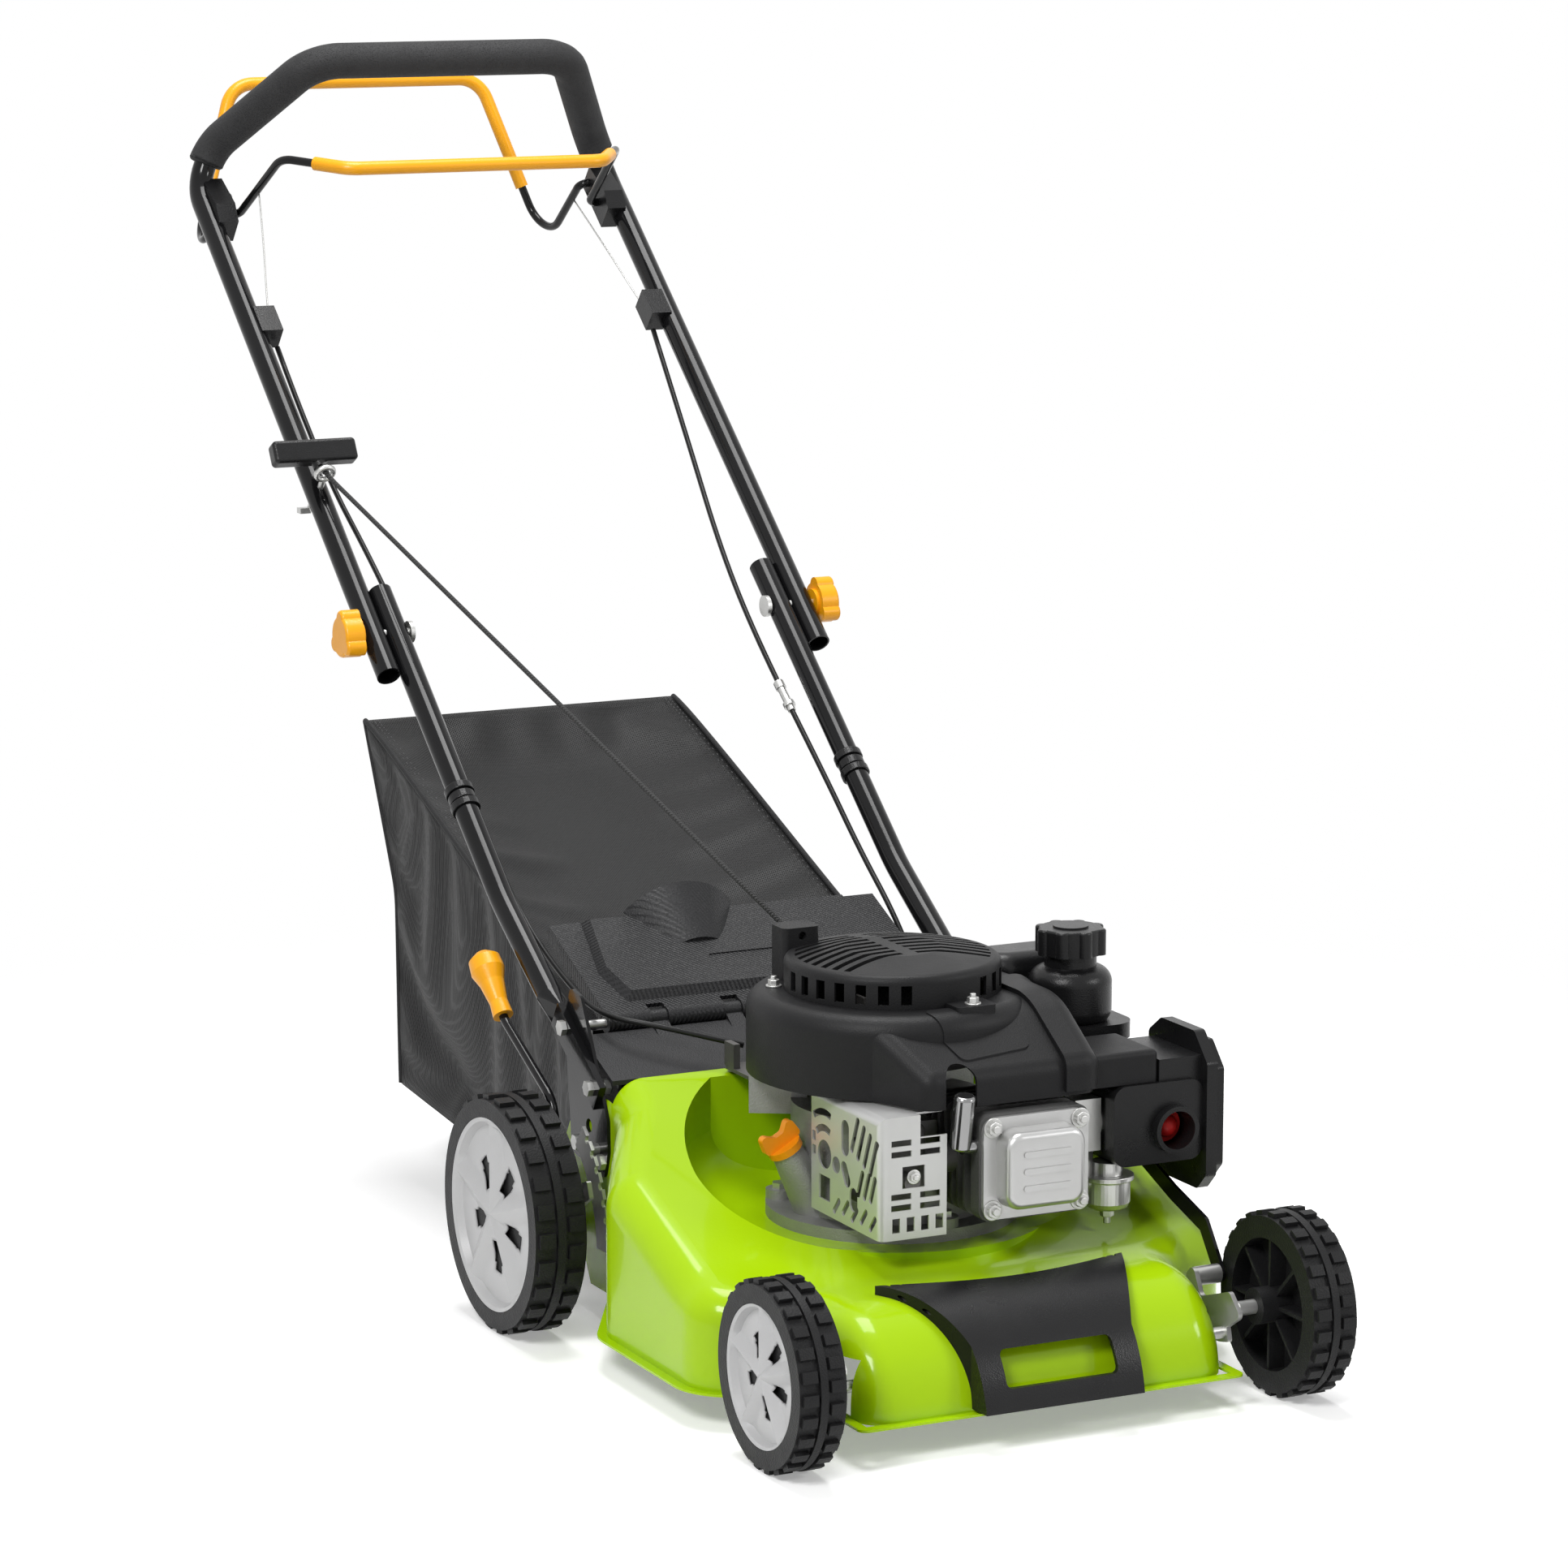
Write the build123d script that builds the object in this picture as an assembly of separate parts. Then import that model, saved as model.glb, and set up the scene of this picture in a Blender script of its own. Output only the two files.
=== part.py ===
from build123d import *
import math
import os

# Rotary lawn mower, in millimetres. The origin is on the ground below the crankshaft.
# The front of the mower is -Y and the operator's right is -X.

# Fits
gap = 0.4
running = 0.08

# Wheels
front_wheel_radius = 76.2
front_wheel_width = 40.0
front_wheel_outer_x = 248.0
front_axle_y = -257.0
rear_wheel_radius = 101.6
rear_wheel_width = 46.0
rear_wheel_outer_x = 283.0
rear_axle_y = 188.0
tread_depth = 4.0
tread_blocks = 26
hub_radius = 15.0
hub_length = 12.0
axle_radius = 6.0
rim_wall = 3.0
hubcap_depth = 8.0
hubcap_spokes = 5

# Height linkage: each wheel hangs on an arm whose pivot is behind and below its axle
arm_back = 57.0
arm_drop = 31.0
arm_thickness = 4.0
lever_back = 10.0
lever_rise = 41.0
front_arm_x = 176.0
rear_arm_x = 210.0
pivot_bolt_radius = 5.0
cross_rod_radius = 5.0
front_rod_ahead = 42.0
front_rod_rise = 8.0
rear_rod_behind = 30.0
rear_rod_rise = 12.0
height_swing = 20.0

# Deck
sheet = 2.0
skirt_z = 28.0
deck_z = 107.0
deck_front_y = -277.0
nose_half_width = 165.0
nose_rear_y = -175.0
deck_half_width = 243.0
shoulder_front_y = -135.0
shoulder_rear_y = 40.0
tail_half_width = 187.0
tail_front_y = 140.0
tail_rear_y = 262.0
ramp_start_y = -125.0
ramp_end_y = 150.0
ramp_end_z = 215.0
shoulder_radius = 30.0
lip_width = 8.0
platform_z = 117.0
ring_radius = 131.0
pocket_floor_radius = 120.0
pocket_rim_radius = 172.0
pocket_rim_z = 165.0
pocket_rear_y = 140.0

# Cutting gear and drive
blade_radius = 220.0
blade_width = 52.0
blade_thickness = 4.0
blade_z = 46.0
crank_radius = 11.0
pulley_radius = 24.0
pulley_z = 98.0
pulley_height = 12.0
gearbox_radius = 22.0
gearbox_half_length = 34.0
gearbox_pulley_radius = 34.0
gearbox_pulley_y = 224.0
belt_width = 9.0
drive_shaft_radius = 6.0

# Engine
flange_radius = 105.0
flange_thickness = 10.0
crankcase_radius = 84.0
crankcase_top_z = 214.0
mount_bolt_circle = 93.0
shroud_radius = 121.0
shroud_z = 240.0
shroud_top_z = 308.0
shroud_front_y = -152.0
shroud_wall = 2.5
recoil_radius = 90.0
recoil_top_z = 342.0

# Handle
tube_radius = 11.0
tube_wall = 1.5
lower_tube_x = 192.5
upper_tube_x = 215.0
bracket_thickness = 3.0
tab_thickness = 6.0
tab_length = 103.0
tab_foot = 13.0
knob_y = 605.5
knob_z = 532.0
tube_overlap = 50.0
bend_y = 365.0
bend_z = 329.0
loop_y = 1067.0
loop_z = 925.0
grip_half_width = 131.0
grip_y = 947.0
grip_z = 1028.5
loop_bend = 45.0
foam_radius = 17.0
bail_wire = 4.0
bail_sleeve = 6.5

# Grass catcher and door
hinge_y = 226.0
hinge_z = 246.0
hinge_rod_radius = 4.0
hinge_lugs = (-110.0, -40.0, 30.0, 100.0)
hinge_lug_width = 16.0
hinge_lug_radius = 7.5
door_half_width = 158.0
door_rear_y = 348.0
door_rear_z = 301.0
bag_half_width = 160.0
bag_wall = 3.0
bag_front_y = 248.0

# Bolts
bolt_radius = 4.0
bolt_head_radius = 7.0
bolt_head_height = 5.0

LOW = (Align.CENTER, Align.CENTER, Align.MIN)


def rod(start, end, radius):
    """A round bar between two points."""
    axis = Vector(*end) - Vector(*start)
    return Part() + Solid.make_cylinder(radius, axis.length, Plane(origin=start, z_dir=axis))


def pipe(points, bends, radius, bore=0.0):
    """A bar, or a tube with a bore, swept along straight runs and tangent bends."""
    path = FilletPolyline(*points, radius=bends)
    section = Circle(radius)
    if bore:
        section -= Circle(bore)
    return sweep(Plane(origin=path @ 0, z_dir=path % 0) * section, path=path)


def plate_x(outline, x_low, x_high, corner=0.0):
    """A plate in the YZ plane between two X values."""
    if corner:
        edge = FilletPolyline(*outline, radius=corner, close=True)
    else:
        edge = Polyline(*outline, close=True)
    return extrude(Plane.YZ.offset(x_low) * make_face(edge), x_high - x_low)


def block(x, y, z, corner=0.0):
    """A box between pairs of X, Y and Z values, with rounded upright edges."""
    size = (x[1] - x[0], y[1] - y[0], z[1] - z[0])
    middle = ((x[0] + x[1]) / 2, (y[0] + y[1]) / 2, (z[0] + z[1]) / 2)
    body = Part() + Box(*size)
    if corner:
        body = fillet(body.edges().filter_by(Axis.Z), corner)
    return Pos(*middle) * body


def disc_z(x, y, z, radius, height):
    """A round disc standing on a height."""
    return Pos(x, y, z) * Cylinder(radius, height, align=LOW)


def disc_x(x_low, x_high, y, z, radius):
    """A round disc along X."""
    return rod((x_low, y, z), (x_high, y, z), radius)


def other_side(shape):
    """The same piece on the other side of the mower."""
    return mirror(shape, about=Plane.YZ)


def group(*shapes):
    """Separate solids kept in one node."""
    return Compound([solid for shape in shapes for solid in shape.solids()])


def hexagon_x(x_low, x_high, y, z, radius):
    """A hexagonal bolt head or nut along X."""
    return extrude(Plane.YZ.offset(x_low) * Pos(y, z) * RegularPolygon(radius, 6), x_high - x_low)


# Points that several pieces share, as (Y, Z)
front_axle = (front_axle_y, front_wheel_radius)
rear_axle = (rear_axle_y, rear_wheel_radius)
front_pivot = (front_axle[0] + arm_back, front_axle[1] - arm_drop)
rear_pivot = (rear_axle[0] + arm_back, rear_axle[1] - arm_drop)
front_pin = (front_pivot[0] + lever_back, front_pivot[1] + lever_rise)
rear_pin = (rear_pivot[0] + lever_back, rear_pivot[1] + lever_rise)
front_rod = (front_pivot[0] - front_rod_ahead, front_pivot[1] + front_rod_rise)
rear_rod = (rear_pivot[0] + rear_rod_behind, rear_pivot[1] + rear_rod_rise)
bracket_bolts = [(172.0, 205.0), (211.0, 149.0), (161.0, 143.0)]
handle_bolt = bracket_bolts[0]
engine_bolts = [
    (mount_bolt_circle * math.cos(math.radians(a)), mount_bolt_circle * math.sin(math.radians(a)))
    for a in (30, 150, 270)
]
handle_slope = math.atan2(loop_z - knob_z, loop_y - knob_y)


def along_handle(distance, rise=0.0):
    """A point (Y, Z) on the upper tube's line, measured from the knob."""
    y = knob_y + distance * math.cos(handle_slope) - rise * math.sin(handle_slope)
    z = knob_z + distance * math.sin(handle_slope) + rise * math.cos(handle_slope)
    return (y, z)


# Deck
form_bottom_z = skirt_z - 40.0
form_top_z = ramp_end_z + 60.0


def deck_plan(inset, tail_y):
    """The deck's outline seen from above."""
    right = [
        (nose_half_width, deck_front_y),
        (nose_half_width, nose_rear_y),
        (deck_half_width, shoulder_front_y),
        (deck_half_width, shoulder_rear_y),
        (tail_half_width, tail_front_y),
        (tail_half_width, tail_y),
    ]
    radii = [0, 25, 45, 40, 40, 0]
    left = [(-x, y) for x, y in reversed(right)]
    face = make_face(FilletPolyline(*right, *left, radius=radii + radii[::-1], close=True))
    return offset(face, -inset) if inset else face


def deck_profile(inset, tail_y):
    """The deck's outline seen from the side: a round apron, a flat and a ramp."""
    apron = deck_z - skirt_z
    outline = [
        (deck_front_y, form_bottom_z),
        (deck_front_y, deck_z),
        (ramp_start_y, deck_z),
        (ramp_end_y, ramp_end_z),
        (tail_y, ramp_end_z),
        (tail_y, form_bottom_z),
    ]
    face = make_face(FilletPolyline(*outline, radius=[0, apron, 180, 60, 0, 0], close=True))
    return offset(face, -inset) if inset else face


def pocket(inset):
    """The round bowl pressed into the ramp for the engine."""
    floor = platform_z - inset
    rim = pocket_rim_radius + inset
    middle = (
        pocket_floor_radius + 0.68 * (pocket_rim_radius - pocket_floor_radius) + 0.7 * inset,
        platform_z + 0.28 * (pocket_rim_z - platform_z) - 0.7 * inset,
    )
    outline = [
        Line((0, floor), (pocket_floor_radius, floor)),
        ThreePointArc((pocket_floor_radius, floor), middle, (rim, pocket_rim_z)),
        Polyline((rim, pocket_rim_z), (rim, form_top_z), (0, form_top_z), (0, floor)),
    ]
    bowl = revolve(Plane.XZ * make_face(outline), Axis.Z)
    keep = block((-400, 400), (-400, pocket_rear_y + inset), (floor - 1, form_top_z + 1))
    return bowl & keep


def deck_form(inset, tail_y):
    """The deck as a solid; two of them, one inside the other, make the pressed sheet."""
    walls = extrude(Plane.XY.offset(form_bottom_z) * deck_plan(inset, tail_y), form_top_z - form_bottom_z)
    width = 2.2 * deck_half_width
    hood = extrude(Plane.YZ.offset(-width / 2) * deck_profile(inset, tail_y), width)
    body = walls & hood
    shoulder = [
        edge
        for edge in body.edges()
        if abs(edge.center().X) > 50
        and edge.center().Z > form_bottom_z + inset + 1
        and edge.center().Y < tail_y - inset - 1
        and (abs((edge % 0.5).Z) < 0.99 or edge.center().Y < deck_front_y + inset + 1)
    ]
    body = fillet(shoulder, shoulder_radius - inset)
    ring_height = platform_z - inset - form_bottom_z
    body += disc_z(0, 0, form_bottom_z, ring_radius - inset, ring_height)
    return body - pocket(inset)


def make_deck():
    beyond = 60.0
    shell = deck_form(0.0, tail_rear_y) - deck_form(sheet, tail_rear_y + beyond)
    shell &= block((-400, 400), (-400, 400), (skirt_z, form_top_z + 1))
    plan = deck_plan(0.0, tail_rear_y)
    lip = extrude(Plane.XY.offset(skirt_z) * (offset(plan, lip_width) - offset(plan, -sheet / 2)), sheet)
    shell += lip & block((-400, 400), (-400, tail_front_y), (skirt_z, skirt_z + sheet))
    inner = tail_half_width - sheet
    shell -= block((-inner, inner), (ramp_end_y + sheet, 400), (skirt_z + 1, form_top_z + 1))
    trim = [
        (ramp_end_y + sheet, ramp_end_z - 2),
        (205, ramp_end_z - 2),
        (tail_rear_y + 1, 118),
        (400, 118),
        (400, form_top_z),
        (ramp_end_y + sheet, form_top_z),
    ]
    shell -= plate_x(trim, -400, 400)
    tail_foot = [(195, skirt_z - 1), (205, 45), (400, 45), (400, skirt_z - 1)]
    shell -= plate_x(tail_foot, -400, 400)
    shell -= disc_z(0, 0, platform_z - 20, 34, 40)
    for x, y in engine_bolts:
        shell -= disc_z(x, y, platform_z - 20, bolt_radius, 40)
    shell -= disc_x(-400, 400, *rear_pivot, drive_shaft_radius + 3)
    for y, z in bracket_bolts:
        shell -= disc_x(-400, -tail_half_width + sheet + 1, y, z, bolt_radius)
        shell -= disc_x(tail_half_width - sheet - 1, 400, y, z, bolt_radius)
    shell -= disc_x(-nose_half_width - 3, nose_half_width + 3, *front_pivot, bolt_radius)
    reach = cross_rod_radius + 3
    travel = front_rod_ahead * math.sin(math.radians(height_swing))
    low = max(front_rod[1] - travel - reach, skirt_z + 2)
    slot = block(
        (-220, 220), (front_rod[0] - reach, front_rod[0] + reach + 4), (low, front_rod[1] + travel + reach)
    )
    keep = block((-nose_half_width + 30, nose_half_width - 30), (-400, 0), (0, 400))
    shell -= slot - keep
    return shell


# Bumper
def make_bumper():
    apron = deck_z - skirt_z
    centre_y = deck_front_y + apron

    def profile(inset):
        """The bumper's side view, down to the deck's apron."""
        top_y = -186.0
        curve = ThreePointArc(
            (-300 + inset, 30), (-277 + inset * 0.8, 80 - inset * 0.6), (top_y, 114 - inset)
        )
        rest = Polyline((top_y, 114 - inset), (top_y, 20), (-300 + inset, 20), (-300 + inset, 30))
        return make_face([curve, rest])

    def plan(inset):
        """The bumper's top view, wider towards the engine."""
        side = [(70 - inset, -320), (72 - inset, -275), (112 - inset, -188 - inset)]
        back = ThreePointArc((112 - inset, -188 - inset), (0, -210 - inset), (-112 + inset, -188 - inset))
        front = Polyline(
            (-112 + inset, -188 - inset), (-72 + inset, -275), (-70 + inset, -320), *side
        )
        return make_face([back, front])

    def form(inset):
        slab = extrude(Plane.YZ.offset(-150) * profile(inset), 300)
        return slab & extrude(Plane.XY * plan(inset), 200)

    wall = 4.0
    body = form(0.0) - form(wall)
    inner = rod((-200, centre_y, skirt_z), (200, centre_y, skirt_z), apron)
    flat = block((-200, 200), (centre_y, 0), (0, deck_z))
    below = block((-200, 200), (-400, 0), (0, skirt_z + lip_width / 2 + gap))
    body -= inner + flat + below
    slot = extrude(Plane.XZ.offset(240) * Pos(0, 64) * RectangleRounded(100, 28, 5), 80)
    body -= slot
    for x in (-92, -84, 84, 92):
        groove = rod((x, -330, 76), (x * 1.12, -180, 118), 1.6)
        body -= groove
    return body.solids().sort_by(SortBy.VOLUME)[-1]


# Brackets, chute and fasteners
bracket_outer_x = tail_half_width + bracket_thickness
tab_outer_x = bracket_outer_x + tab_thickness
chute_half_width = 177.0
chute_wall = 3.0
chute_floor_z = 112.0


def make_bracket():
    outline = [(152, 152), (160, 128), (226, 138), (240, 250), (228, 280), (206, 276), (153, 180)]
    plate = plate_x(outline, tail_half_width, bracket_outer_x, 7)
    for y, z in bracket_bolts:
        plate -= disc_x(0, 400, y, z, bolt_radius)
    plate -= disc_x(0, 400, hinge_y, hinge_z, hinge_rod_radius)
    plate -= disc_x(0, 400, 190, 168, 6)
    return plate


def make_chute():
    top = [(ramp_end_y + sheet + gap, 214), (216, 240), (216, 236), (ramp_end_y + sheet + gap, 210)]
    panel = plate_x(top, -tail_half_width + sheet, tail_half_width - sheet)
    outline = [(158, chute_floor_z), (242, chute_floor_z), (242, 229), (216, 238), (158, 212.5)]
    box = plate_x(outline, -chute_half_width, chute_half_width)
    hollow = [
        (150, chute_floor_z + chute_wall), (250, chute_floor_z + chute_wall),
        (250, 225.5), (215, 235), (150, 209),
    ]
    inside = chute_half_width - chute_wall
    box -= plate_x(hollow, -inside, inside)
    box -= block((-inside, inside), (150, 196), (100, chute_floor_z + chute_wall + 1))
    body = panel + box
    for x in hinge_lugs:
        half = hinge_lug_width / 2 - gap
        lug = plate_x(
            [(205, 235.5), (216, 238), (hinge_y + 4, hinge_z), (hinge_y, hinge_z + 4)], x - half, x + half
        )
        body += lug + disc_x(x - half, x + half, hinge_y, hinge_z, hinge_lug_radius)
    return body - disc_x(-400, 400, hinge_y, hinge_z, hinge_rod_radius)


def bolt_x(x_low, x_high, y, z):
    """A bolt with its head outside and its nut inside."""
    shank = disc_x(x_low - bolt_head_height, x_high, y, z, bolt_radius)
    head = hexagon_x(x_high, x_high + bolt_head_height, y, z, bolt_head_radius)
    nut = hexagon_x(x_low - bolt_head_height, x_low, y, z, bolt_head_radius)
    return shank + head + nut


def make_fasteners():
    inner = tail_half_width - sheet
    left = [bolt_x(inner, tab_outer_x if p == handle_bolt else bracket_outer_x, *p) for p in bracket_bolts]
    y, z = front_pivot
    arm_outer = front_arm_x + arm_thickness
    pivot = disc_x(nose_half_width - sheet - bolt_head_height, nose_half_width, y, z, bolt_radius)
    pivot += hexagon_x(
        nose_half_width - sheet - bolt_head_height, nose_half_width - sheet, y, z, bolt_head_radius
    )
    pivot += disc_x(nose_half_width, front_arm_x - gap, y, z, 9)
    pivot += disc_x(nose_half_width, arm_outer + gap, y, z, pivot_bolt_radius)
    pivot += hexagon_x(arm_outer + gap, arm_outer + gap + bolt_head_height, y, z, 9)
    left.append(pivot)
    head = lower_tube_x - tube_radius - gap
    carriage = disc_x(head - 4, head, knob_y, knob_z, 10)
    carriage += disc_x(head - 4, upper_tube_x + tube_radius + 16, knob_y, knob_z, bolt_radius)
    left.append(carriage)
    pieces = left + [other_side(piece) for piece in left]
    hinge = disc_x(-tab_outer_x - gap, tab_outer_x + gap, hinge_y, hinge_z, hinge_rod_radius)
    for x in (-tab_outer_x - gap - bolt_head_height, tab_outer_x + gap):
        hinge += hexagon_x(x, x + bolt_head_height, hinge_y, hinge_z, bolt_head_radius)
    pieces.append(hinge)
    for x, y in engine_bolts:
        top = platform_z + flange_thickness + 8
        bolt = disc_z(
            x, y, platform_z - sheet - bolt_head_height, bolt_radius,
            top - platform_z + sheet + bolt_head_height,
        )
        bolt += extrude(
            Plane.XY.offset(top) * Pos(x, y) * RegularPolygon(bolt_head_radius, 6), bolt_head_height
        )
        nut_z = platform_z - sheet - bolt_head_height
        bolt += extrude(
            Plane.XY.offset(nut_z) * Pos(x, y) * RegularPolygon(bolt_head_radius, 6), bolt_head_height
        )
        pieces.append(bolt)
    return group(*pieces)


# Handle
def make_lower_handle():
    slope = Vector(0, bend_y - handle_bolt[0], bend_z - handle_bolt[1]).normalized()
    start = Vector(lower_tube_x, handle_bolt[0], handle_bolt[1]) + slope * (tab_length + 9)
    upper = Vector(lower_tube_x, knob_y, knob_z)
    rise = (upper - Vector(lower_tube_x, bend_y, bend_z)).normalized()
    end = upper + rise * tube_overlap
    path = [start, Vector(lower_tube_x, bend_y, bend_z), end]
    tube = pipe(path, [180], tube_radius, tube_radius - tube_wall)
    flat_x = (bracket_outer_x + gap / 4 + tab_outer_x) / 2
    flat_half = (tab_outer_x - bracket_outer_x - gap / 4) / 2
    foot = Vector(flat_x, handle_bolt[0], handle_bolt[1]) - slope * tab_foot
    shoulder = foot + slope * tab_length
    across = Vector(1, 0, 0).cross(slope)
    tab_face = Plane(origin=foot, x_dir=across, z_dir=slope) * Rectangle(26, 2 * flat_half)
    tab = extrude(tab_face, tab_length)
    tab_end = Plane(origin=shoulder, x_dir=across, z_dir=slope) * RectangleRounded(
        26, 2 * flat_half, flat_half * 0.9
    )
    tube_end = Plane(origin=start, x_dir=across, z_dir=slope) * RectangleRounded(
        2 * tube_radius, 2 * tube_radius, tube_radius * 0.98
    )
    body = tube + loft([tab_end, tube_end]) + tab
    body -= disc_x(0, 400, *handle_bolt, bolt_radius)
    body -= disc_x(0, 400, hinge_y, hinge_z, hinge_rod_radius)
    body -= disc_x(0, 400, knob_y, knob_z, bolt_radius)
    return body


def handle_points():
    foot = along_handle(-tube_overlap)
    right = [
        (-upper_tube_x, *foot),
        (-upper_tube_x, loop_y, loop_z),
        (-grip_half_width, grip_y, grip_z),
    ]
    return right + [(-x, y, z) for x, y, z in reversed(right)]


def make_upper_handle():
    tube = pipe(handle_points(), loop_bend, tube_radius, tube_radius - tube_wall)
    return tube - disc_x(-400, 400, knob_y, knob_z, bolt_radius + running)


def make_foam():
    edges = FilletPolyline(*handle_points(), radius=loop_bend).edges()
    ordered = sorted(edges, key=lambda edge: edge.center().X)
    loop = [edge for edge in ordered if edge.center().Z > loop_z - 15]
    first = loop[0].trim(0.55, 1.0)
    last = loop[-1].trim(0.0, 0.45)
    path = Wire([first, *loop[1:-1], last])
    section = Circle(foam_radius) - Circle(tube_radius)
    return sweep(Plane(origin=path @ 0, z_dir=path % 0) * section, path=path)


brake_pivot = along_handle((1015.0 - knob_y) / math.cos(handle_slope))
drive_pivot = along_handle((1036.0 - knob_y) / math.cos(handle_slope))
bail_leg_x = 184.0
bail_leg_bend = 9.0
bracket_inner_x = bail_leg_x + bail_leg_bend + gap
bail_end_x = upper_tube_x - tube_radius - 1.0


def bail(pivot, corners, bends):
    """A bail wire from its right pivot over its bar to its left pivot."""
    right = [(-bail_end_x, *pivot), (-bail_leg_x, *pivot)] + [(-x, y, z) for x, y, z in corners]
    points = right + [(-x, y, z) for x, y, z in reversed(right)]
    return pipe(points, [bail_leg_bend] + bends + bends[::-1] + [bail_leg_bend], bail_wire)


def sleeve(leg, corner, share, bend):
    """The plastic sleeve on a bail's bar, which starts part of the way up each leg."""
    start = tuple(a + (b - a) * share for a, b in zip(leg, corner))
    right = [(-x, y, z) for x, y, z in (start, corner)]
    return pipe(right + [(-x, y, z) for x, y, z in reversed(right)], bend, bail_sleeve, bail_wire)


brake_leg = (174.0, 925.0, 939.4)
brake_corner = (130.0, 861.0, 932.3)
brake_bend = 20.0
drive_leg = (188.0, 1133.0, 830.0)
drive_corner = (132.0, 1169.0, 997.0)
drive_bend = 30.0


def make_brake_bail():
    return bail(brake_pivot, [brake_leg, brake_corner], [30, brake_bend])


def make_drive_bail():
    return bail(drive_pivot, [drive_leg, drive_corner], [30, drive_bend])


def make_lever_brackets():
    """Bearing blocks of the bails and the two cable stops, seated round the upper tubes."""
    foot = along_handle(-tube_overlap)
    tube = rod((upper_tube_x, *foot), (upper_tube_x, *along_handle(590)), tube_radius)
    start = (brake_pivot[0] - knob_y) / math.cos(handle_slope)
    outline = [
        along_handle(start - 22, -13), along_handle(start + 37, -13),
        along_handle(start + 37, 13), along_handle(start - 4, 20), along_handle(start - 22, 13),
    ]
    body = plate_x(outline, bracket_inner_x, upper_tube_x - 2)
    body -= tube
    for pivot in (brake_pivot, drive_pivot):
        body -= disc_x(0, 400, *pivot, bail_wire + running)
    anchor = 388.0
    stop = [along_handle(anchor - 16, -12), along_handle(anchor + 16, -12),
            along_handle(anchor + 16, 12), along_handle(anchor - 16, 12)]
    stop = plate_x(stop, upper_tube_x - 24, upper_tube_x - 3) - tube
    pieces = [body, stop]
    return group(*pieces, *[other_side(piece) for piece in pieces])


def make_rope_guide():
    """A pigtail eye of bent wire on the right upper tube, with its wing nut."""
    distance = guide_place
    seat = along_handle(distance, tube_radius)
    stem = rod((-upper_tube_x, *seat), (-upper_tube_x, *along_handle(distance, tube_radius + 9)), 3)
    ring = Torus(8, 2.6)
    centre = along_handle(distance, tube_radius + guide_rise)
    turn = math.degrees(handle_slope)
    eye = Pos(-upper_tube_x, *centre) * Rot(90 + turn, 0, 0) * ring
    nut = rod((-upper_tube_x, *along_handle(distance, -tube_radius)),
              (-upper_tube_x, *along_handle(distance, -tube_radius - 7)), 6)
    wings = []
    for x in (-1, 1):
        low = along_handle(distance - 2, -tube_radius - 4)
        high = along_handle(distance + 2, -tube_radius - 14)
        wings.append(block(
            (-upper_tube_x + min(x * 4, x * 14), -upper_tube_x + max(x * 4, x * 14)),
            (min(low[0], high[0]), max(low[0], high[0])), (high[1], low[1]),
        ))
    return group(stem + eye, nut + wings[0] + wings[1])


grip_centre = (-222.0, 728.0, 684.0)
grip_stem = 14.0
grip_length = 81.0
guide_place = 172.0
guide_rise = 18.0
rope_start = (-55.0, 84.0, 345.0)
rope_radius = 2.5


def make_recoil_handle():
    """The T-shaped pull grip on the end of the starter rope."""
    x, y, z = grip_centre
    eye = along_handle(guide_place, tube_radius + guide_rise)
    rope = (Vector(x, y, z) - Vector(-upper_tube_x, *eye)).normalized()
    place = Plane(origin=grip_centre, x_dir=(1, 0, 0), z_dir=(0, rope.Y, rope.Z))
    bar = fillet(Box(grip_length, 17, 22).edges(), 4)
    foot = Vector(x, y, z) - rope * grip_stem
    return place.location * bar + rod(tuple(foot), (x, y, z), 7)


def make_starter_rope():
    x, y, z = grip_centre
    eye = Vector(-upper_tube_x, *along_handle(guide_place, tube_radius + guide_rise))
    rope = (Vector(x, y, z) - eye).normalized()
    end = Vector(x, y, z) - rope * (grip_stem + gap)
    return pipe([rope_start, tuple(eye), tuple(end)], [16], rope_radius)


cable_radius = 2.5
brake_cable = [
    (-195, 888, 765), (-190, 800, 668), (-174, 690, 572), (-170, 600, 496), (-174, 470, 392),
    (-174, 400, 336), (-171, 330, 290), (-170, 244, 262), (-164, 206, 256), (-130, 176, 251), (-66, 146, 234),
]
drive_cable = [
    (195, 888, 765), (190, 800, 668), (174, 690, 572), (170, 600, 496), (174, 470, 392), (174, 400, 336),
    (173, 330, 290), (173, 284, 244), (172, 264, 180), (171, 256, 108), (150, 254, 93), (90, 252, 91),
    (38, 249, 93),
]


def cable(points):
    """A control cable of straight runs joined by bends as large as the runs allow."""
    radii = []
    for before, here, after in zip(points, points[1:], points[2:]):
        first = Vector(*here) - Vector(*before)
        second = Vector(*after) - Vector(*here)
        turn = math.radians(first.get_angle(second))
        radii.append(0.45 * min(first.length, second.length) / math.tan(turn / 2))
    print("cable bend radii", [round(radius) for radius in radii])
    return pipe(points, radii, cable_radius)


def make_knob(side):
    """A lobed clamping knob on the end of the carriage bolt."""
    start = upper_tube_x + tube_radius + gap
    face = Circle(19)
    for k in range(3):
        face += Rot(0, 0, 120 * k + 90) * Pos(16, 0) * Circle(8)
    hand = extrude(Plane.YZ.offset(start + 3) * Pos(knob_y, knob_z) * face, 18)
    hand = fillet(hand.faces().sort_by(Axis.X)[-1].edges(), 3)
    hand += disc_x(start, start + 3, knob_y, knob_z, 13)
    hand -= disc_x(0, upper_tube_x + tube_radius + 16 + gap, knob_y, knob_z, bolt_radius + running)
    return hand if side > 0 else other_side(hand)


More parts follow.
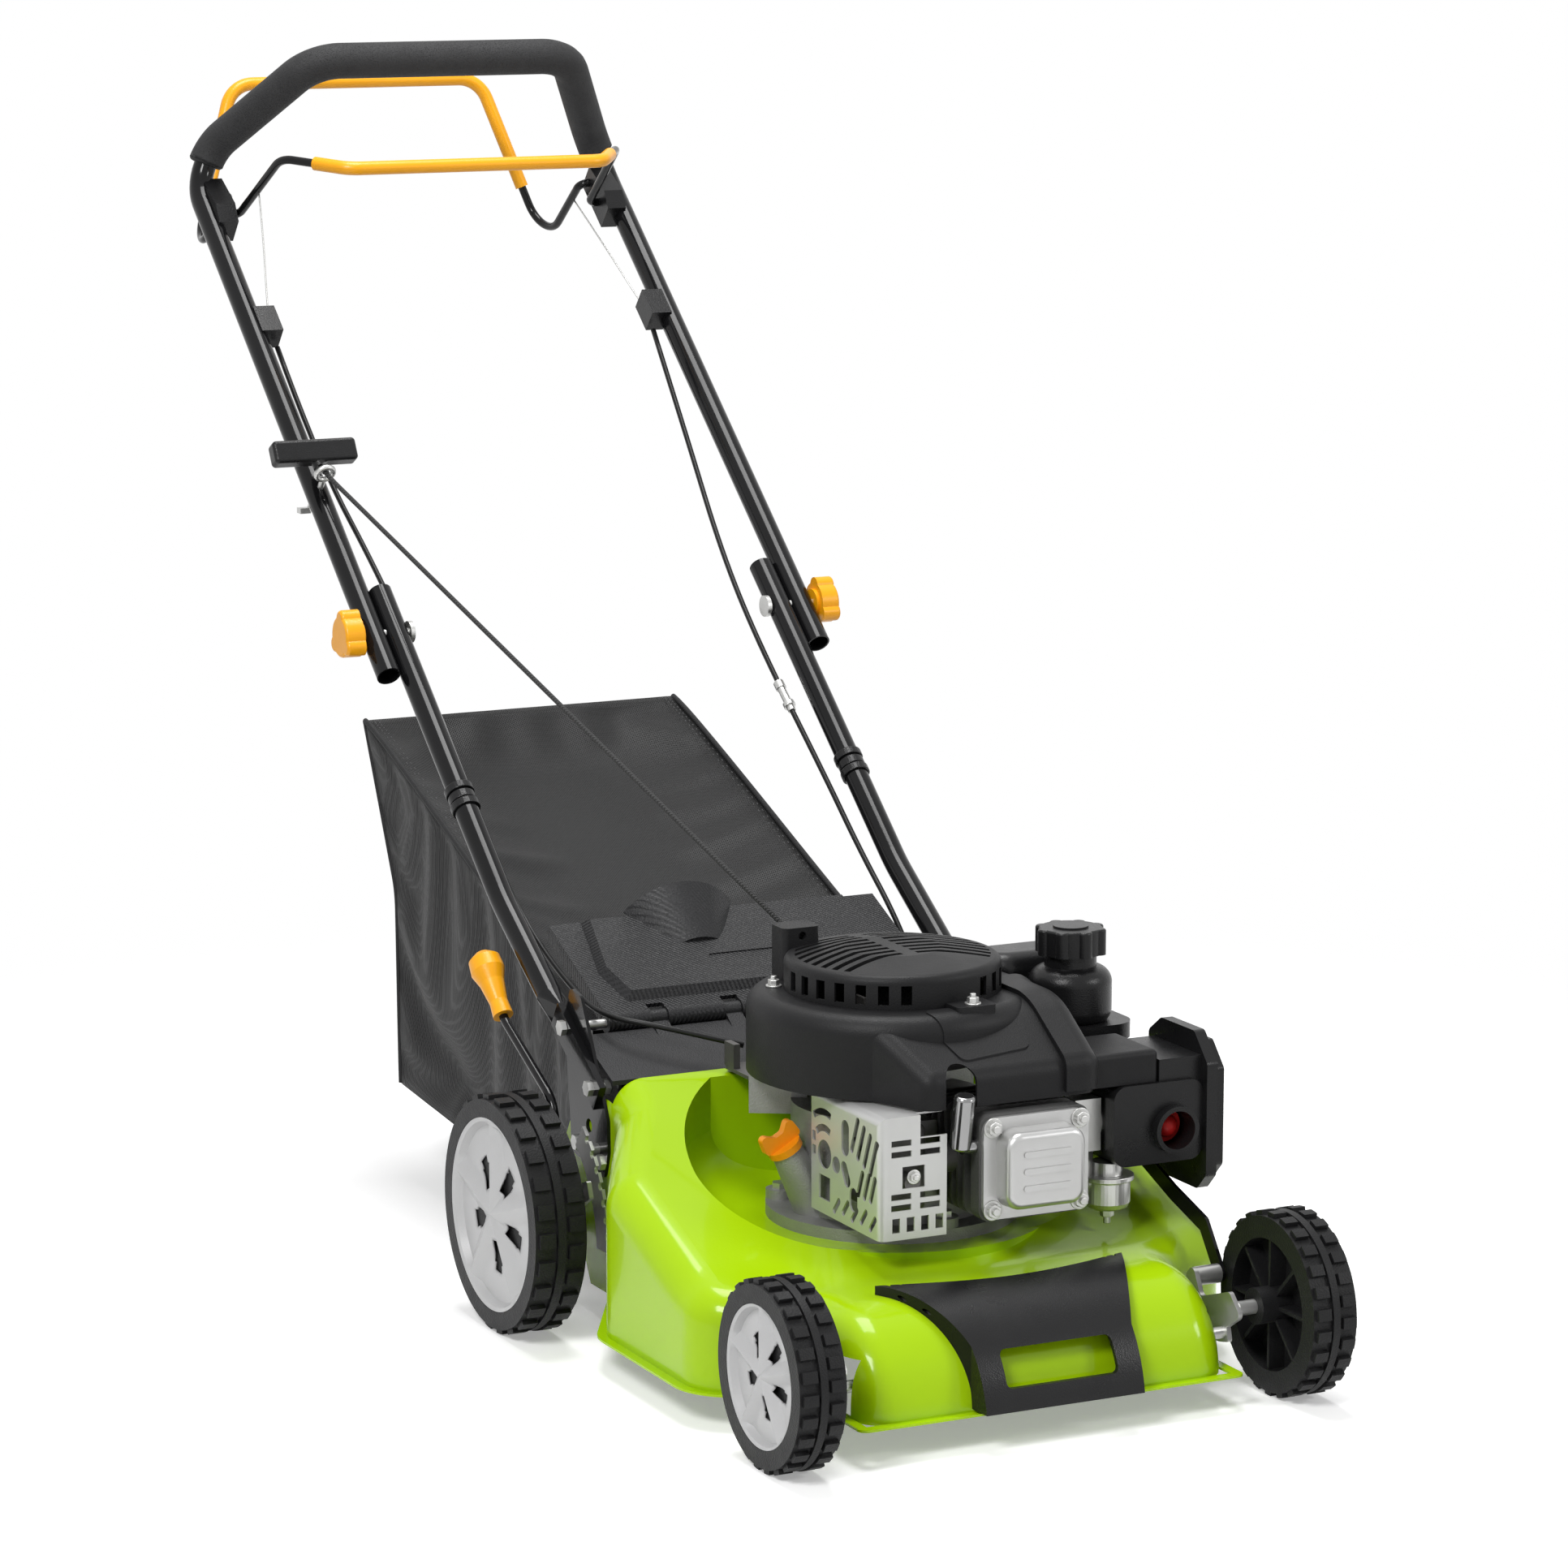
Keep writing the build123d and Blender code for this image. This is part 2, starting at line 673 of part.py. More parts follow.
# Wheels, axles and height setting
def make_wheel(radius, width, outer_x, y, bore):
    """A moulded wheel with two rows of tread blocks, a ribbed disc and a hub."""
    inner = outer_x - width
    tyre = radius - tread_depth
    well = radius - 22
    body = disc_x(inner, outer_x, y, radius, tyre)
    body -= disc_x(inner - 1, inner + width * 0.45, y, radius, well)
    body -= disc_x(outer_x - hubcap_depth - 2, outer_x + 1, y, radius, well + rim_wall)
    body += disc_x(inner - hub_length, outer_x - hubcap_depth - 2, y, radius, hub_radius)
    band = disc_x(inner + width * 0.42, outer_x - width * 0.42, y, radius, radius - 1)
    body += band
    step = 360 / tread_blocks
    blocks = []
    for k in range(tread_blocks):
        for low, high, phase in ((0.06, 0.36, 0.0), (0.64, 0.94, 0.5)):
            middle = inner + width * (low + high) / 2
            lug = Box(width * (high - low), math.pi * radius / tread_blocks, tread_depth + 2)
            lug = Pos(0, 0, radius - tread_depth / 2 - 1) * lug
            blocks.append(Pos(middle, y, radius) * Rot(step * (k + phase), 0, 0) * lug)
    for lug in blocks:
        body += lug
    body &= disc_x(inner - hub_length - 1, outer_x + 1, y, radius, radius)
    for k in range(8):
        rib = Box(width * 0.4, 3, well - hub_radius + 2)
        rib = Pos(inner + width * 0.25, 0, (well + hub_radius) / 2) * rib
        body += Pos(0, y, radius) * Rot(45 * k, 0, 0) * rib
    return body - disc_x(inner - hub_length - 1, outer_x, y, radius, bore)


def make_hubcap(radius, outer_x, y):
    """A snap-in cap with ridged star arms and small slots beside them."""
    cap = radius - 22 + rim_wall - gap
    back = outer_x - hubcap_depth - 2
    face = disc_x(back, back + 5, y, radius, cap)
    face += disc_x(back, outer_x, y, radius, cap) - disc_x(back - 1, outer_x + 1, y, radius, cap - 4)
    reach = cap - 3
    step = 360 / hubcap_spokes
    for k in range(hubcap_spokes):
        arm = [
            (0, -5), (0.42 * reach, -0.19 * reach), (reach, -0.1 * reach),
            (reach, 0.1 * reach), (0.42 * reach, 0.19 * reach), (0, 5),
        ]
        arm = extrude(Plane.YZ.offset(back + 5) * make_face(Polyline(*arm, close=True)), 4.8, taper=40)
        face += Pos(0, y, radius) * Rot(step * k + 90, 0, 0) * arm
        slot = Pos(back + 2, 0.55 * reach, 0.2 * reach + 3) * Box(14, 0.24 * reach, 0.1 * reach)
        face -= Pos(0, y, radius) * Rot(step * k + 104, 0, 0) * slot
    face -= disc_x(back - 1, back + 2, y, radius, axle_radius + 5)
    return face


def make_front_axle():
    """Both front arms, their stub axles and the rod that joins them."""
    outer = front_arm_x + arm_thickness
    outline = [
        (front_axle[0] - 12, front_axle[1] - 4), (front_axle[0] + 2, front_axle[1] - 13),
        (front_pivot[0] - 8, front_pivot[1] - 12), (front_pivot[0] + 12, front_pivot[1] - 4),
        (front_pin[0] + 7, front_pin[1] + 2), (front_pin[0] - 4, front_pin[1] + 11),
        (front_pin[0] - 16, front_pin[1] - 12), (front_axle[0] + 6, front_axle[1] + 13),
    ]
    left = plate_x(outline, front_arm_x, outer, 5)
    left -= disc_x(0, 400, *front_pivot, pivot_bolt_radius + running)
    stub = front_wheel_outer_x - hubcap_depth - 4
    left += disc_x(outer, stub, *front_axle, axle_radius)
    right = other_side(left)
    left += disc_x(outer, link_x + link_thickness + 1, *front_pin, axle_radius - 2)
    left += disc_x(outer, link_x - gap, *front_pin, axle_radius + 2)
    return left + right + disc_x(-front_arm_x, front_arm_x, *front_rod, cross_rod_radius) + lug_for_rod()


def lug_for_rod():
    """Ears of the front arms that hold the joining rod."""
    ear = [
        (front_rod[0] - 9, front_rod[1] - 6), (front_rod[0] + 4, front_rod[1] - 9),
        (front_pivot[0] - 10, front_pivot[1] - 4), (front_axle[0] + 12, front_axle[1] - 6),
    ]
    ear = plate_x(ear, front_arm_x, front_arm_x + arm_thickness, 2)
    return ear + other_side(ear)


def make_rear_axle():
    """Both rear arms on the drive shaft's line, their stub axles and the rod that joins them."""
    outer = rear_arm_x + arm_thickness
    outline = [
        (rear_axle[0] - 14, rear_axle[1] + 2), (rear_axle[0] - 6, rear_axle[1] - 13),
        (rear_pivot[0] - 10, rear_pivot[1] - 14), (rear_pivot[0] + 14, rear_pivot[1] - 10),
        (rear_rod[0] + 9, rear_rod[1] - 4), (rear_rod[0] + 6, rear_rod[1] + 9),
        (rear_pin[0] + 11, rear_pin[1] + 2), (rear_pin[0] - 4, rear_pin[1] + 12),
        (rear_axle[0] + 4, rear_axle[1] + 15),
    ]
    left = plate_x(outline, rear_arm_x, outer, 5)
    left += disc_x(rear_arm_x - 8, outer, *rear_pivot, drive_shaft_radius + 5)
    left -= disc_x(0, 400, *rear_pivot, drive_shaft_radius + running)
    left += disc_x(outer, rear_wheel_outer_x - hubcap_depth - 4, *rear_axle, axle_radius)
    right = other_side(left)
    left += disc_x(link_x - 1, rear_arm_x, *rear_pin, axle_radius - 2)
    detent = [(rear_axle[0] - 8, rear_axle[1] - 8), (rear_axle[0] - 52, rear_axle[1] + 18),
              (rear_axle[0] - 46, rear_axle[1] + 32), (rear_axle[0] + 2, rear_axle[1] + 12)]
    right += plate_x(detent, -outer, -rear_arm_x, 2)
    return left + right + disc_x(-rear_arm_x, rear_arm_x, *rear_rod, cross_rod_radius)


lever_x = rear_arm_x + arm_thickness + 7.0
lever_points = [(-lever_x, 188, 128), (-lever_x, 192, 190), (-lever_x, 296, 240), (-lever_x, 318, 262)]


def make_height_lever():
    bar = pipe(lever_points, [30, 40], 4)
    foot = disc_x(-lever_x - 4, -rear_arm_x - arm_thickness, lever_points[0][1], lever_points[0][2], 9)
    plate = plate_x(
        [(180, 108), (196, 108), (196, 136), (180, 136)],
        -rear_arm_x - arm_thickness - 3,
        -rear_arm_x - arm_thickness,
    )
    return bar + foot + plate


def make_height_knob():
    start = Vector(*lever_points[2])
    end = Vector(*lever_points[3])
    axis = (end - start).normalized()
    outline = [
        (4 + running, 0), (9, 0), (8, 14), (11, 34), (15, 46),
        (14, 58), (7, 64), (0, 64), (0, 26), (4 + running, 26),
    ]
    face = make_face(Polyline(*outline, close=True))
    knob = revolve(Plane.XZ * face, Axis.Z)
    place = Plane(origin=tuple(end - axis * 26), z_dir=axis)
    return place.location * knob


def make_height_rack():
    """The notched sector that holds the height setting, bolted to the deck's tail wall."""
    radius = math.hypot(arm_back + 46, arm_drop + 24)
    start = math.degrees(math.atan2(arm_drop + 24, -arm_back - 46))
    face = make_face([
        *sector(radius - 14, radius + 10, start - height_swing - 6, start + height_swing + 6)
    ])
    plate = extrude(Plane.YZ.offset(-rear_arm_x + 5) * Pos(*rear_pivot) * face, 3)
    for k in range(7):
        angle = math.radians(start - height_swing + height_swing / 3 * k)
        y = rear_pivot[0] + (radius + 8) * math.cos(angle)
        z = rear_pivot[1] + (radius + 8) * math.sin(angle)
        plate -= disc_x(-400, 0, y, z, 3.5)
    foot_y = rear_pivot[0] + (radius - 8) * math.cos(math.radians(start - height_swing))
    foot_z = rear_pivot[1] + (radius - 8) * math.sin(math.radians(start - height_swing))
    plate += disc_x(-rear_arm_x + 8, -bracket_outer_x, foot_y, foot_z, 5)
    return plate


def sector(inner, outer, start, end):
    """The four edges of a ring sector."""
    arcs = [CenterArc((0, 0), inner, start, end - start), CenterArc((0, 0), outer, start, end - start)]
    return [arcs[0], arcs[1], Line(arcs[0] @ 0, arcs[1] @ 0), Line(arcs[0] @ 1, arcs[1] @ 1)]


link_x = tab_outer_x + bolt_head_height + 1.5
link_thickness = 3.0


def make_height_link():
    """The flat bar that goes over the deck's left shoulder from the front arm to the rear arm."""
    upper = [
        (front_pin[0], front_pin[1]), (-164, 121), (-114, 136),
        (60, 201), (124, 212), (rear_pin[0], rear_pin[1]),
    ]
    bar = None
    x = (link_x, link_x + link_thickness)
    width = 14.0
    for start, end in zip(upper, upper[1:]):
        along = Vector(end[0] - start[0], end[1] - start[1]).normalized()
        side = Vector(-along.Y, along.X) * (width / 2)
        strip = [
            (start[0] + side.X, start[1] + side.Y), (end[0] + side.X, end[1] + side.Y),
            (end[0] - side.X, end[1] - side.Y), (start[0] - side.X, start[1] - side.Y),
        ]
        strip = plate_x(strip, *x) + disc_x(*x, *end, width / 2) + disc_x(*x, *start, width / 2)
        bar = strip if bar is None else bar + strip
    bar -= disc_x(0, 400, *front_pin, axle_radius - 2 + running)
    return bar - disc_x(0, 400, *rear_pin, axle_radius - 2 + gap)


# Engine
def make_engine_base():
    """The cast sump with its mounting flange, crankcase drum and oil filler neck."""
    body = disc_z(0, 0, platform_z, flange_radius, flange_thickness)
    body += disc_z(0, 0, platform_z, crankcase_radius, crankcase_top_z - platform_z)
    for x, y in engine_bolts:
        body += disc_z(x, y, platform_z, 12, flange_thickness + 8)
    neck = Plane(origin=neck_foot, z_dir=neck_axis)
    body += neck.location * Cone(22, 13, neck_length, align=LOW)
    for k in range(3):
        body += Rot(0, 0, 30 + 60 * k) * block((70, shroud_radius - shroud_wall), (-6, 6), (200, shroud_z))
    body -= neck.location * Pos(0, 0, neck_length - 30) * Cylinder(9, 40, align=LOW)
    body -= disc_z(0, 0, 0, 400, platform_z)
    for x, y in engine_bolts:
        body -= disc_z(x, y, 0, bolt_radius, 400)
    return body - disc_z(0, 0, 0, crank_radius + running, 400)


neck_foot = (-66.0, -7.0, platform_z + 4)
neck_axis = Vector(-0.5, 0, 0.866)
neck_length = 70.0


def make_dipstick():
    """The oil cap with its wing grip and its dipstick."""
    neck = Plane(origin=neck_foot, z_dir=neck_axis)
    cap = Pos(0, 0, neck_length + gap) * Cylinder(15, 6, align=LOW)
    stick = Pos(0, 0, neck_length - 20) * Cylinder(3, 20 + gap, align=LOW)
    wing = make_face(
        FilletPolyline((-18, 6), (-15, 26), (-4, 16), (4, 16), (15, 26), (18, 6), radius=4, close=True)
    )
    wing = Pos(0, 4, neck_length + gap) * extrude(Plane.XZ * wing, 8)
    return neck.location * (cap + stick + wing)


head_x = (-4.0, 96.0)
head_z = (146.0, 234.0)
head_front_y = -160.0


def make_cylinder_block():
    """The finned cylinder and head, cut to seat on the crankcase."""
    core = block((head_x[0] + 14, head_x[1] - 14), (head_front_y, -40), (head_z[0] + 12, head_z[1] - 10))
    fin = RectangleRounded(head_x[1] - head_x[0], head_z[1] - head_z[0], 10)
    fin = Pos((head_x[0] + head_x[1]) / 2, (head_z[0] + head_z[1]) / 2) * fin
    for k in range(7):
        core += extrude(Plane.XZ.offset(-head_front_y - 28 - 11 * k) * fin, 3.5)
    core += extrude(Plane.XZ.offset(-head_front_y - 14) * fin, 14)
    core -= disc_z(0, 0, 0, crankcase_radius, crankcase_top_z)
    core -= disc_z(0, 0, 0, flange_radius + gap, platform_z + flange_thickness)
    core -= disc_z(0, 0, shroud_z - 12, 60, 60)
    return core.solids().sort_by(SortBy.VOLUME)[-1]


def make_valve_cover():
    """The pressed cover with a raised box, plain ribs and four corner bolts."""
    middle_x = (head_x[0] + head_x[1]) / 2
    middle_z = (head_z[0] + head_z[1]) / 2
    place = Plane.XZ.offset(-head_front_y)
    plate = extrude(place * Pos(middle_x, middle_z) * RectangleRounded(96, 84, 12), 4)
    raised = extrude(place * Pos(middle_x, middle_z) * RectangleRounded(74, 66, 14), 24, taper=4)
    raised = fillet(raised.faces().sort_by(Axis.Y)[0].edges(), 6)
    body = plate + raised
    for z in (-14, 0, 14):
        rib = extrude(place.offset(23) * Pos(middle_x, middle_z + z) * RectangleRounded(44, 5, 2), 2.2)
        body += rib
    for x in (-40, 40):
        for z in (-34, 34):
            body += extrude(place.offset(4) * Pos(middle_x + x, middle_z + z) * RegularPolygon(6, 6), 5)
    return body


guard_x = (-88.0, -28.0)
guard_y = (-150.0, -27.0)
guard_z = (137.0, 238.0)
guard_wall = 1.5
guard_bend = 7.0


def make_muffler_guard():
    """The pressed guard: a big perforated side, a slotted front and a folded top."""
    shell = block(guard_x, guard_y, guard_z)
    corner = [
        e for e in shell.edges()
        if abs(e.center().X - guard_x[0]) < 1 and abs(e.center().Z - guard_z[0]) > 1
        and abs(e.center().Y - guard_y[1]) > 1
    ]
    shell = fillet(corner, guard_bend)
    inside = block(
        (guard_x[0] + guard_wall, guard_x[1] + 20), (guard_y[0] + guard_wall, guard_y[1] + 20),
        (guard_z[0] - 20, guard_z[1] - guard_wall),
    )
    corner = [e for e in inside.edges() if abs(e.center().X - guard_x[0] - guard_wall) < 1
              and abs(e.center().Z - guard_z[0] + 20) > 1 and abs(e.center().Y - guard_y[1] - 20) > 1]
    shell -= fillet(corner, guard_bend - guard_wall)
    notch = block(
        (guard_x[1] - 24, guard_x[1] + 1), (guard_y[0] - 1, guard_y[0] + 9), (guard_z[1] - 18, guard_z[1] + 1)
    )
    shell -= notch
    return shell - side_holes() - front_holes()


def side_slot(y, z, length, width, angle):
    """One rounded slot through the guard's right side."""
    face = Pos(y, z) * Rot(0, 0, angle) * SlotOverall(length, width)
    return extrude(Plane.YZ.offset(guard_x[0] - 1) * face, guard_wall + 3)


def side_holes():
    """The pattern of the guard's right side, from a round port at its rear."""
    port = (guard_y[1] - 24, guard_z[0] + 50)
    through = (guard_x[0] - 1, guard_x[0] + guard_wall + 2)
    holes = disc_x(*through, *port, 12)
    holes += disc_x(*through, port[0] - 21, port[1] - 4, 7)
    for inner, outer, half in ((19, 25, 42), (32, 38, 34)):
        arc = make_face(sector(inner, outer, 90 - half, 90 + half - 16))
        holes += extrude(Plane.YZ.offset(through[0]) * Pos(*port) * arc, through[1] - through[0])
    holes += block(through, (port[0] - 10, port[0] + 10), (port[1] - 38, port[1] - 18))
    for z in (-4, 8):
        holes += block(through, (port[0] + 16, port[0] + 22), (port[1] + z, port[1] + z + 8))
    holes += side_slot(port[0] - 37, port[1] + 22, 30, 13, 90)
    holes += side_slot(port[0] - 38, port[1] - 8, 22, 11, 60)
    holes += side_slot(port[0] - 52, port[1] - 26, 20, 14, 90)
    for k in range(4):
        holes += side_slot(port[0] - 54 - 11 * k, port[1] + 28 - 4 * k, 34, 6, 112)
    for k in range(3):
        holes += side_slot(port[0] - 64 - 11 * k, port[1] - 10, 26, 6, 112)
    for k in range(5):
        holes += side_slot(port[0] - 22 - 16 * k, port[1] - 38 + 2 * (k % 2), 18, 5.5, 130)
    return holes


def front_holes():
    """The slots, the screw window and the comb of the guard's front."""
    through = (guard_y[0] - 1, guard_y[0] + guard_wall + 2)
    middle = (guard_x[0] + guard_x[1]) / 2 + 2
    holes = block((middle - 12, middle + 8), through, (guard_z[0] + 42, guard_z[0] + 60))
    for x in (middle - 13, middle + 13):
        for z in (24, 33, 68, 77):
            holes += block((x - 9, x + 9), through, (guard_z[0] + z, guard_z[0] + z + 5))
    for k in range(4):
        x = middle - 21 + 13 * k
        holes += block((x, x + 7), through, (guard_z[0] + 6, guard_z[0] + 18))
    return holes


def make_muffler():
    """The welded exhaust box, its pipe to the head and the bosses that carry the guard."""
    body = block((guard_x[0] + 9, -36), (guard_y[0] + 16, -70), (152, 226))
    body = fillet(body.edges(), 8)
    body -= disc_z(0, 0, 0, crankcase_radius + gap, 400)
    body += disc_x(-40, head_x[0], -110, 190, 13)
    body += rod((-58, guard_y[0] + guard_wall, 182), (-58, guard_y[0] + 20, 182), 7)
    body += disc_x(guard_x[0] + guard_wall, guard_x[0] + 12, -96, 205, 6)
    return body


shroud_round = 16.0
nose_x = (-46.0, 110.0)
nose_z = 266.0
wing_x = 172.0
wing_y = (-142.0, -72.0)
wing_z = 267.0


def shroud_form(inset):
    """The blower housing as a solid: a drum, a nose drawn out over the head and a wing to the filter."""
    low = shroud_z - inset
    top = shroud_top_z - inset
    radius = shroud_radius - inset
    bend = shroud_round - inset
    front = shroud_front_y + inset
    side = [
        Polyline((0, low), (radius, low), (radius, top - bend)),
        CenterArc((radius - bend, top - bend), bend, 0, 90),
        Polyline((radius - bend, top), (0, top), (0, low)),
    ]
    drum = revolve(Plane.XZ * make_face(side), Axis.Z)
    roof = [(0, low), (front, low), (front, nose_z - inset), (-88, top), (0, top)]
    roof = make_face(FilletPolyline(*roof, radius=[0, 0, 16, 70, 0], close=True))
    nose = extrude(Plane.YZ.offset(-200) * roof, 400)
    outline = [
        (nose_x[0] + inset, front), (nose_x[1] - inset, front),
        (shroud_radius - 8 - inset, 0), (-shroud_radius + 8 + inset, 0),
    ]
    nose &= extrude(Plane.XY * make_face(Polyline(*outline, close=True)), 400)
    edges = [
        e for e in nose.edges()
        if e.center().Z > low + 4 and e.center().Y < -4 and abs(e.center().X - 20) > 40
    ]
    nose = fillet(edges, bend - 2)
    wing = block(
        (nose_x[1] - 40, wing_x - inset), (wing_y[0] + inset, wing_y[1] - inset), (low, wing_z - inset)
    )
    wing = fillet([e for e in wing.edges() if e.center().Z > low + 4 and e.center().X > nose_x[1]], 5 - inset)
    return drum + nose + wing


strap_x = (78.0, 112.0)
strap_rear_y = -18.0
strap_rise = 4.0
panel_rise = 1.2
panel_outline = [(-26, -96), (66, -96), (56, -134), (-8, -140)]
notch_x = -16.0
notch_width = 28.0
notch_height = 34.0
stud_lug = (20.0, -100.0)


def make_shroud():
    """The blower housing with its strap, its plain badge panel and the notch over the plug."""
    skin = shroud_form(0.0)
    body = skin - shroud_form(shroud_wall)
    low = shroud_z + strap_rise
    strap = shroud_form(-strap_rise) & block(strap_x, (2 * shroud_front_y, strap_rear_y), (low, 400))
    badge = make_face(FilletPolyline(*panel_outline, radius=8, close=True))
    badge = shroud_form(-panel_rise) & extrude(Plane.XY.offset(shroud_z) * badge, 100)
    lug = block(
        (stud_lug[0] - 18, stud_lug[0] + 18), (stud_lug[1] - 12, -recoil_radius + 6),
        (280, shroud_top_z + 4), 5,
    )
    body += strap - skin
    body += badge - skin
    body += lug - skin
    notch = Box(notch_width, 60, 2 * notch_height)
    notch = fillet(notch.edges().filter_by(Axis.Y).group_by(Axis.Z)[-1], notch_width / 2 - 1)
    body -= Pos(notch_x, shroud_front_y, shroud_z) * notch
    body -= disc_z(0, 0, shroud_top_z - 20, recoil_radius - 8, 24)
    body -= disc_z(0, 0, shroud_top_z, recoil_radius, 40)
    rim = disc_z(0, 0, shroud_z, shroud_radius - shroud_wall / 2, 3)
    body += (rim - disc_z(0, 0, shroud_z - 1, shroud_radius - 15, 5)) & disc_z(0, 150, shroud_z, 110, 3)
    return body.solids().sort_by(SortBy.VOLUME)[-1]


recoil_rim_z = 335.0
recoil_flat = 40.0
recoil_rim_round = 7.0
recoil_wall = 3.0
grille_slots = 9
grille_step = 12.0
grille_slot = 6.0
grille_first = 128.0
grille_centre_y = -160.0
grille_border = 9.0
spine_width = 13.0
wall_slots = 30
wall_slot_low = 4.0
wall_slot_top_z = 328.0
outlet_x = (-72.0, -38.0)
outlet_y = 56.0
outlet_top = 7.0


def recoil_dome():
    """The starter housing's outside: a straight wall, a rounded rim, a sloping crown and a flat middle."""
    shoulder = (recoil_radius, recoil_rim_z)
    flat = (recoil_flat, recoil_top_z)
    foot = (recoil_radius, shroud_top_z)
    outline = [
        FilletPolyline(foot, shoulder, flat, radius=recoil_rim_round),
        Polyline(flat, (0, recoil_top_z), (0, shroud_top_z), foot),
    ]
    return revolve(Plane.XZ * make_face(outline), Axis.Z)


def recoil_hollow():
    """The space inside the starter housing, open below."""
    radius = recoil_radius - recoil_wall
    top = recoil_top_z - recoil_wall
    rim = (radius, recoil_rim_z - recoil_wall)
    outline = Polyline((0, 0), (radius, 0), rim, (recoil_flat, top), (0, top), close=True)
    return revolve(Plane.XZ * make_face(outline), Axis.Z)


def grille():
    """The arc-shaped slots of the housing's top, either side of a central spine."""
    low = recoil_rim_z - 3 * recoil_wall
    field = disc_z(0, 0, low, recoil_radius - grille_border, 40)
    field -= block((-spine_width / 2, spine_width / 2), (-recoil_radius, recoil_radius), (0, 400))
    slots = []
    for k in range(grille_slots):
        radius = grille_first + grille_step * k
        arc = make_face(sector(radius, radius + grille_slot, 45, 135))
        slots.append(field & extrude(Plane.XY.offset(low) * Pos(0, grille_centre_y) * arc, 40))
    return slots


def make_recoil_cover():
    """The starter housing with its slotted wall, its grille and its rope outlet."""
    body = recoil_dome() - recoil_hollow()
    for slots in grille():
        body -= slots
    slot_z = (shroud_top_z + wall_slot_low, wall_slot_top_z)
    for k in range(wall_slots):
        if k % 10 > 6:
            continue
        slot = block((recoil_radius - 7, recoil_radius + 7), (-4.5, 4.5), slot_z)
        body -= Rot(0, 0, 360 / wall_slots * k - 62) * slot
    outlet = block(outlet_x, (outlet_y, rope_start[1] - gap), (shroud_top_z, rope_start[2] + outlet_top), 6)
    outlet -= recoil_hollow()
    channel = rod((rope_start[0], 0, rope_start[2]), (rope_start[0], 100, rope_start[2]), rope_radius + 1)
    return (body + outlet) - channel


tank_x = (104.0, 206.0)
tank_y = (20.0, 76.0)
tank_z = (262.0, 318.0)
tank_corner = 24.0
boss_radius = 35.0
boss_top_z = 312.0
tray_rim = 4.0
neck_radius = 22.0
neck_top_z = 322.0


def make_fuel_tank():
    """The blow-moulded tank behind the filler's round boss, on its tray."""
    body = block(tank_x, tank_y, tank_z, tank_corner)
    body = fillet(body.faces().sort_by(Axis.Z)[-1].edges(), 14)
    boss = disc_z(cap_x, cap_y, tank_z[0], boss_radius, boss_top_z - tank_z[0])
    boss = fillet(boss.edges(), 14)
    join = block((cap_x - 26, cap_x + 26), (cap_y, tank_y[1] - 20), (tank_z[0], boss_top_z - 10))
    tray = block(
        (tank_x[0] - tray_rim, tank_x[1] + tray_rim),
        (cap_y - boss_radius - tray_rim, tank_y[1] + tray_rim),
        (tank_z[0] - 10, tank_z[0] + 4),
        tank_corner,
    )
    body += boss + join + tray
    body -= shroud_form(-gap)
    body += disc_z(cap_x, cap_y, boss_top_z - 8, neck_radius, neck_top_z - boss_top_z + 8)
    return body.solids().sort_by(SortBy.VOLUME)[-1]


cap_x = 164.0
cap_y = -7.0


def make_fuel_cap():
    """The eight-lobed filler cap."""
    face = Circle(27)
    for k in range(8):
        face += Rot(0, 0, 45 * k) * Pos(24, 0) * Circle(6.5)
    body = extrude(Plane.XY.offset(neck_top_z + gap) * Pos(cap_x, cap_y) * face, 22)
    body = fillet(body.faces().sort_by(Axis.Z)[-1].edges(), 2)
    return body + disc_z(cap_x, cap_y, neck_top_z + gap + 22, 15, 1.5)


filter_x = (128.0, 226.0)
filter_y = (-146.0, -64.0)
filter_z = (150.0, 268.0)


def make_air_filter_base():
    """The filter housing that the carburettor breathes through, with the primer's well."""
    body = block((filter_x[0], filter_x[1] - 14), filter_y, (172, shroud_z - gap))
    body = fillet(body.edges().filter_by(Axis.Y), 12)
    body += block((wing_x + gap, filter_x[1] - 14), (wing_y[0], filter_y[1]), (200, filter_z[1] - 10))
    body -= block(
        (filter_x[0] + 4, filter_x[1] - 18), (filter_y[0] + 30, filter_y[1] - 4), (180, shroud_z - 8)
    )
    well = rod((primer[0], filter_y[0] - 8, primer[1]), (primer[0], filter_y[0] + 30, primer[1]), 20)
    body += well
    body -= rod((primer[0], filter_y[0] - 9, primer[1]), (primer[0], filter_y[0] + 26, primer[1]), 16)
    body -= shroud_form(0.0)
    return body.solids().sort_by(SortBy.VOLUME)[-1]


primer = (184.0, 200.0)


def make_primer_bulb():
    """The soft priming bulb in its well."""
    y = filter_y[0] + 18 - gap
    skirt = rod((primer[0], y, primer[1]), (primer[0], y - 4, primer[1]), 14)
    dome = Pos(primer[0], y - 4, primer[1]) * Sphere(10)
    return skirt + (dome & block((0, 400), (-400, y), (0, 400)))


